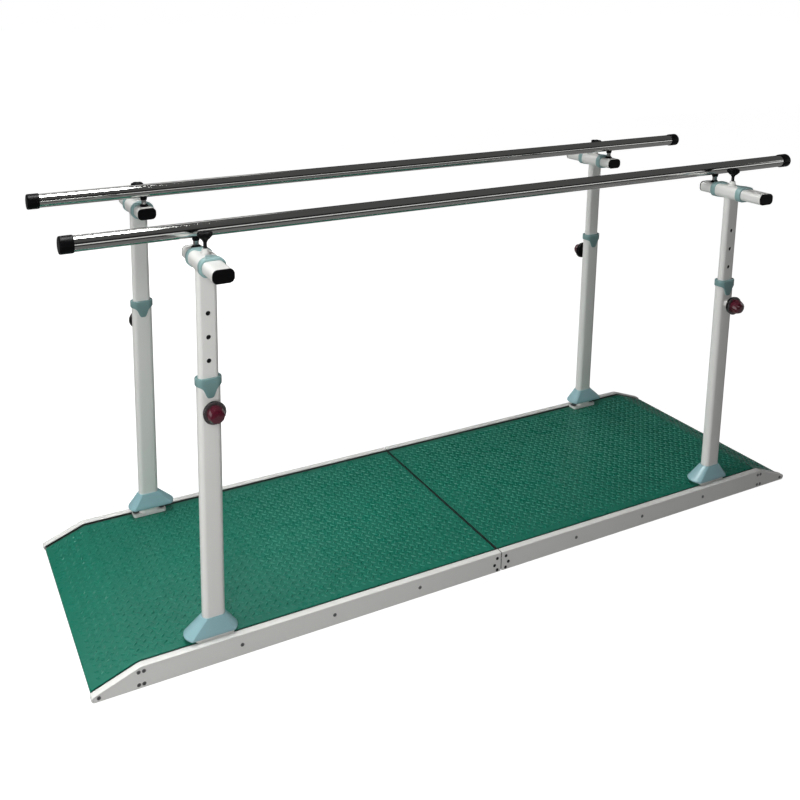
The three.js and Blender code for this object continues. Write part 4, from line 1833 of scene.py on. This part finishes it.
@dataclass
class PullPin(PostPart):
    """The spring pin: chrome shaft, black disc, smoky rim and red grip."""

    radius: float = 0.004
    tip_edge: float = 0.0008
    groove_offset: float = 0.0036
    groove_depth: float = 0.0005
    groove_length: float = 0.0016
    disc_radius: float = 0.023
    disc_edge: float = 0.0025
    disc_thickness: float = 0.009
    rim_radius: float = 0.0245
    rim_edge: float = 0.0007
    rim_thickness: float = 0.003
    grip_radius: float = 0.0185
    grip_top: float = 0.0150
    grip_length: float = 0.017
    dome: float = 0.003
    facets: int = 8
    facet_swell: float = -0.035
    facet_crease: float = 8.0
    steps: int = 64

    def build(self) -> None:
        """Builds the pin's metal, disc, rim and grip."""
        outer, inner = self.station.reach("pull_pin")
        tip, top = -inner, -outer
        seat = at(z=self.station.middle("pull_pin")) @ OUTBOARD
        back = top - self.dome - self.grip_length - self.rim_thickness - self.disc_thickness
        front = back + self.disc_thickness
        grip = self.grip(front + self.rim_thickness, top)
        self.add("pin_shaft", moved(self.shaft(tip, back), seat), CHROME, Body.PIN)
        self.add("pin_disc", moved(self.disc(back, front), seat), BLACK, Body.PIN, "pull_pin")
        self.add("pin_rim", moved(self.rim(front), seat), SMOKE, Body.PIN)
        self.add("pin_grip", moved(grip, seat), RUBY, Body.PIN, crease=self.facet_crease)

    def shaft(self, tip: float, back: float) -> BMesh:
        """Makes the shaft with its groove before the disc.

        Args:
            tip: Where its tip lies along the pin.
            back: Where the disc starts.

        Returns:
            A new bmesh.
        """
        radius, edge, depth = self.radius, self.tip_edge, self.groove_depth
        groove = back - self.groove_offset
        end = groove + self.groove_length
        return turned([
            (0.0, tip), (radius - edge, tip), (radius, tip + edge), (radius, groove),
            (radius - depth, groove + depth), (radius - depth, end), (radius, end),
            (radius, back + 0.001), (0.0, back + 0.001),
        ])

    def disc(self, back: float, front: float) -> BMesh:
        """Makes the black disc behind the grip.

        Args:
            back: Where it starts along the pin.
            front: Where it ends.

        Returns:
            A new bmesh.
        """
        radius, edge, bevel = self.disc_radius, self.disc_edge, back + 0.0012
        return turned([
            (0.0, back), (radius - 0.007, back), (radius - edge, bevel),
            (radius - edge * 0.3, bevel + edge * 0.3), (radius, bevel + edge),
            (radius, front - 0.0005), (radius - 0.0005, front), (0.0, front),
        ], self.steps)

    def rim(self, low: float) -> BMesh:
        """Makes the thin smoky rim between disc and grip.

        Args:
            low: Where it starts along the pin.

        Returns:
            A new bmesh.
        """
        radius, edge, high = self.rim_radius, self.rim_edge, low + self.rim_thickness
        return turned([
            (0.0, low), (radius - edge, low), (radius, low + edge), (radius, high - 2 * edge),
            (radius - 2 * edge, high), (0.0, high),
        ], self.steps)

    def grip(self, low: float, high: float) -> BMesh:
        """Makes the faceted grip, like a cut stone, from the rim to its top.

        Args:
            low: Where it meets the rim.
            high: Its top.

        Returns:
            A new bmesh.
        """
        waist = low + self.grip_length * 0.45
        rows = [
            (self.grip_radius - 0.0005, low - 0.0004, 0.0), (self.grip_radius, low + 0.0006, 1.0),
            (self.grip_radius + 0.0004, waist, 1.0), (self.grip_top, high - self.dome, 1.0),
            (self.grip_top * 0.62, high - self.dome * 0.25, 1.0), (self.grip_top * 0.3, high, 1.0),
        ]
        rings = []
        points = 2 * self.facets
        for row, (radius, height, faceted) in enumerate(rows):
            ring = []
            for step in range(points):
                angle = 2 * QUARTER * (2 * step + row % 2 * faceted) / points
                corner = radius * (1 + faceted * self.facet_swell * (step % 2))
                ring.append(Vector((*polar(corner, angle), height)))
            rings.append(ring)
        return skin(rings)


@dataclass
class Handrail:
    """One handrail: polished tube, two stems with their saddles and feet, and two caps."""

    shop: Workshop
    side: Side
    radius: float = 0.016
    wall: float = 0.0015
    stem_radius: float = 0.006
    saddle_radius: float = 0.0085
    foot_radius: float = 0.010
    foot_height: float = 0.003
    cap_wall: float = 0.002
    cap_end: float = 0.003
    cap_length: float = 0.028
    steps: int = 72

    def build(self) -> None:
        """Builds the rail and everything on it."""
        name = self.side.value
        carrier = f"{name}_{Body.SLIDE.value}"
        low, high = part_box(f"{name}_handrail")
        y = (low[1] + high[1]) / 2
        z = high[2] - self.radius
        tube = hollow_tube(self.circle(), self.wall, low[0], high[0])
        tube = moved(tube, at(y=y, z=z) @ ALONG_X)
        self.shop.piece(f"{name}_rail", tube, STEEL, carrier, f"{name}_handrail")
        for part, make, finish in (("stems", self.neck, CHROME), ("saddles", self.saddle, BLACK)):
            pair = join(*(moved(make(low[2], z), at(self.stem_x(end), y)) for end in End))
            self.shop.piece(f"{name}_rail_{part}", pair, finish, carrier)
        for end, x, turn in ((End.LEFT, low[0], ALONG_X.inverted()), (End.RIGHT, high[0], ALONG_X)):
            label = f"{name}_{end.value}"
            cap = moved(self.cap(), at(x, y, z) @ turn)
            self.shop.piece(f"{label}_rail_end", cap, BLACK, carrier, f"{label}_rail_cap")

    def circle(self) -> Oval:
        """The tube's round section."""
        return Oval(2 * self.radius, 2 * self.radius, self.radius - 1e-5, arc_steps=self.steps // 4)

    def stem_x(self, end: End) -> float:
        """Where a stem stands along the rail, over its slide tube."""
        low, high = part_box(f"{self.side.value}_{end.value}_slide_tube")
        return (low[0] + high[0]) / 2

    def neck(self, low: float, axis: float) -> BMesh:
        """Makes the steel neck between slide tube and rail.

        Args:
            low: Height of the slide tube's top.
            axis: Height of the rail's axis.

        Returns:
            A new bmesh.
        """
        radius, under = self.stem_radius, axis - self.radius
        return turned([
            (0.0, low + 0.001), (radius, low + 0.001), (radius, under - 0.003),
            (radius + 0.001, under - 0.001), (radius + 0.001, under + 0.006), (0.0, under + 0.006),
        ])

    def saddle(self, low: float, axis: float) -> BMesh:
        """Makes the dark saddle under the rail and the dark ring at the foot of the neck.

        Args:
            low: Height of the slide tube's top.
            axis: Height of the rail's axis.

        Returns:
            A new bmesh.
        """
        radius, under = self.stem_radius, axis - self.radius
        bore = radius + 0.0001
        saddle = turned([
            (bore, under - 0.006), (radius + 0.0012, under - 0.006), (radius + 0.0018, under - 0.003),
            (self.saddle_radius, under - 0.0008), (self.saddle_radius, under + 0.002),
            (bore, under + 0.004), (bore, under - 0.006),
        ])
        foot, top = self.foot_radius, low + self.foot_height
        return join(saddle, turned([
            (bore, low), (foot, low), (foot, top - 0.0008), (foot - 0.001, top),
            (radius + 0.0012, top + 0.0025), (bore, top + 0.0028), (bore, low),
        ]))

    def cap(self) -> BMesh:
        """Makes the cap for a rail end that points along +Z and ends at Z = 0.

        Returns:
            A new bmesh.
        """
        outer, inner = self.radius + self.cap_wall, self.radius + PLAY
        end = self.cap_end + PLAY
        skirt = end - self.cap_length
        return turned([
            (0.0, end - 0.0004), (outer * 0.55, end - 0.0002), (outer - 0.003, end),
            (outer - 0.0012, end - 0.0006), (outer - 0.0002, end - 0.0022), (outer, end - 0.004),
            (outer, skirt + 0.003), (outer - 0.0003, skirt + 0.0006), (outer - 0.0008, skirt),
            (inner, skirt), (inner, PLAY), (0.0, PLAY),
        ], self.steps)


# Studio


@dataclass
class PhotoCamera:
    """The camera of the photograph, as fitted to points measured in it."""

    place: tuple[float, float, float] = (-1.288917, -1.915607, 1.405227)
    heading: float = 0.4358
    pitch: float = 0.1801
    roll: float = -0.0025
    focal_pixels: float = 915.72
    centre_pixels: tuple[float, float] = (303.546, 153.825)
    image_pixels: float = 800.0
    sensor_mm: float = 36.0
    clip: tuple[float, float] = (0.05, 60.0)

    def build(self) -> None:
        """Creates the camera and makes it the scene's."""
        lens = bpy.data.cameras.new("photo_camera")
        lens.sensor_width = self.sensor_mm
        lens.sensor_fit = "HORIZONTAL"
        lens.lens = self.focal_pixels * self.sensor_mm / self.image_pixels
        middle = self.image_pixels / 2
        lens.shift_x = (middle - self.centre_pixels[0]) / self.image_pixels
        lens.shift_y = (self.centre_pixels[1] - middle) / self.image_pixels
        lens.clip_start, lens.clip_end = self.clip
        camera = shown("photo_camera", lens)
        turn = (
            Matrix.Rotation(-self.heading, 4, "Z")
            @ Matrix.Rotation(QUARTER - self.pitch, 4, "X")
            @ Matrix.Rotation(self.roll, 4, "Z")
        )
        camera.matrix_world = Matrix.Translation(self.place) @ turn
        bpy.context.scene.camera = camera


@dataclass
class Lamp:
    """A soft rectangular lamp, which lights surfaces but isn't mirrored in them."""

    name: str
    place: tuple[float, float, float]
    target: tuple[float, float, float]
    power: float
    size: tuple[float, float] = (1.0, 1.0)
    spread: float = 2 * QUARTER

    def light(self) -> bpy.types.Light:
        """Makes the area light.

        Returns:
            The light's data.
        """
        light = bpy.data.lights.new(self.name, "AREA")
        light.shape = "RECTANGLE"
        light.size, light.size_y = self.size
        light.spread = self.spread
        return light

    def build(self) -> None:
        """Hangs the lamp at its place and turns it to its target."""
        light = self.light()
        light.energy = self.power
        lamp = shown(self.name, light)
        lamp.location = self.place
        gap = Vector(self.target) - Vector(self.place)
        lamp.rotation_euler = gap.to_track_quat("-Z", "Y").to_euler()
        lamp.visible_glossy = False


@dataclass
class SideLight(Lamp):
    """A soft light so far away that it doesn't fall off over the object."""

    spread: float = math.radians(24)

    def light(self) -> bpy.types.Light:
        """Makes the sun light.

        Returns:
            The light's data.
        """
        light = bpy.data.lights.new(self.name, "SUN")
        light.angle = self.spread
        return light


def stage_sheet(
    name: str, place: Matrix, reach: tuple[float, float], material: bpy.types.Material
) -> bpy.types.Object:
    """Lays a flat sheet that belongs to the stage.

    Args:
        name: Its name.
        place: Its place and turn.
        reach: How far it reaches each way along its own X and Y.
        material: Its material.

    Returns:
        The new object.
    """
    bm = bmesh.new()
    spread = place @ Matrix.Diagonal((*reach, 1.0, 1.0))
    bmesh.ops.create_grid(bm, x_segments=1, y_segments=1, size=1.0, matrix=spread)
    mesh = mesh_of(name, bm)
    mesh.materials.append(material)
    sheet = shown(name, mesh)
    sheet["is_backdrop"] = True
    return sheet


@dataclass
class Flag:
    """A plain glowing sheet, dark or bright, that only polished and glossy surfaces pick up."""

    name: str
    middle: tuple[float, float, float]
    lean: float
    size: tuple[float, float]
    strength: float

    def build(self) -> None:
        """Creates the sheet along X, leant back about X."""
        turn = Matrix.Rotation(self.lean, 4, "X")
        made, nodes, _ = new_material(self.name)
        nodes.tree.nodes.clear()
        glow = nodes.add("Emission", {"Color": WHITE, "Strength": self.strength})
        nodes.add("OutputMaterial", {"Surface": glow.outputs[0]})
        width, depth = self.size
        flag = stage_sheet(self.name, at(*self.middle) @ turn, (width / 2, depth / 2), made)
        flag.visible_camera = False
        flag.visible_diffuse = False
        flag.visible_shadow = False
        flag.visible_transmission = False
        flag.visible_volume_scatter = False


LAMPS = (
    Lamp("key_lamp", (-1.5, -1.8, 1.33), (-0.1, 0.0, 0.3), 22.3, (0.9, 0.9)),
    Lamp("top_lamp", (-1.4, -0.1, 6.0), (-1.25, 0.0, 0.0), 27.0, (2.0, 2.0), math.radians(56)),
    Lamp("high_lamp", (-0.4, 0.2, 3.1), (-0.3, 0.0, 0.0), 9.5, (2.4, 2.0)),
    Lamp("back_lamp", (0.2, 2.9, 0.75), (0.0, 0.0, 0.4), 24.0, (1.2, 1.0)),
    SideLight("side_light", (-6.0, -0.6, 1.6), (0.0, 0.0, 0.4), 0.92),
)
FLAGS = (
    Flag("ceiling_flag", (0.0, -1.6, 3.4), 0.0, (16.0, 8.0), 0.10),
    Flag("corner_flag", (7.6, 4.0, 3.4), 0.0, (13.0, 3.4), 0.06),
    Flag("back_flag", (0.0, 5.6, 2.5), QUARTER, (28.0, 5.1), 0.06),
    Flag("front_flag", (0.0, -5.6, 2.25), QUARTER, (16.0, 2.4), 0.022),
    Flag("floor_flag", (0.0, 2.0, -0.0003), 0.0, (12.0, 7.2), 0.22),
    Flag("apron_flag", (0.0, -3.6, -0.0003), 0.0, (12.0, 4.0), 0.06),
    Flag("strip_light", (-1.5, 2.9, 3.35), 0.0, (5.0, 0.6), 2.5),
    Flag("glint_light", (-0.74, 0.1, 3.3), 0.0, (1.1, 1.2), 24.0),
)


@dataclass
class Studio:
    """The pale floor, the white background, the soft light and the flags."""

    floor_reach: float = 30.0
    floor_tone: float = 0.30
    floor_drop: float = 0.0006
    floor_glow: float = 0.96
    # Grey and inset of the dark floor sheet that paints the shade under the platform.
    painted_shade_tone: float = 0.03
    painted_shade_margin: float = 0.006
    floor_roughness: float = 0.9
    sky_strength: float = 0.03

    def build(self) -> None:
        """Creates floor, world, lamps and flags, and sets the plain view transform."""
        self.floor()
        self.world()
        for item in (*LAMPS, *FLAGS):
            item.build()
        bpy.context.scene.view_settings.view_transform = "Standard"

    def floor(self) -> None:
        """Makes the floor, white where nothing shades it, and a dark sheet under the platform that paints the
        shade there.
        """
        made, nodes, shader = self.floor_material("pale_floor", self.floor_tone)
        glow = nodes.add("Emission", {"Strength": self.floor_glow})
        both = nodes.add("AddShader", {0: shader.outputs[0], 1: glow.outputs[0]})
        mix = nodes.add("MixShader", {0: nodes.seen_rays(), 1: shader.outputs[0], 2: both.outputs[0]})
        nodes.fill(made.node_tree.nodes["Material Output"], {"Surface": mix.outputs[0]})
        stage_sheet("floor", at(z=-self.floor_drop), (self.floor_reach, self.floor_reach), made)
        # Painted shade: a near-black sheet on the floor under the platform, seen through the seams.
        shade, _, _ = self.floor_material("painted_shade_floor", self.painted_shade_tone)
        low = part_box("near_left_edge_rail")[0]
        reach = (-low[0] - self.painted_shade_margin, -low[1] - self.painted_shade_margin)
        stage_sheet("painted_shade_floor", Matrix(), reach, shade)

    def floor_material(self, name: str, tone: float) -> tuple[bpy.types.Material, Nodes, bpy.types.Node]:
        """Makes a matt grey material.

        Args:
            name: Its name.
            tone: Its grey.

        Returns:
            The same three things as new_material.
        """
        made, nodes, shader = new_material(name)
        nodes.fill(shader, {"Base Color": (tone, tone, tone, 1.0), "Roughness": self.floor_roughness})
        return made, nodes, shader

    def world(self) -> None:
        """Makes the world: white to the camera and in reflections, softer as a light."""
        world = bpy.data.worlds.new("studio")
        bpy.context.scene.world = world
        world.use_nodes = True
        world.node_tree.nodes.clear()
        nodes = Nodes(world.node_tree)
        light, white = (
            nodes.add("Background", {"Color": WHITE, "Strength": strength}).outputs[0]
            for strength in (self.sky_strength, 1.0)
        )
        mix = nodes.add("MixShader", {0: nodes.seen_rays(), 1: light, 2: white})
        nodes.add("OutputWorld", {"Surface": mix.outputs[0]})


def main() -> None:
    """Builds the camera, the studio and every sub-assembly."""
    logging.basicConfig(level=logging.INFO, format="%(message)s")
    shop = Workshop()
    PhotoCamera().build()
    Studio().build()
    Platform(shop).build()
    for station in STATIONS:
        for part in (Post, Head, SlideTube, ClampKnob, PullPin):
            part(shop, station).build()
    for side in Side:
        Handrail(shop, side).build()


if __name__ == "__main__":
    main()
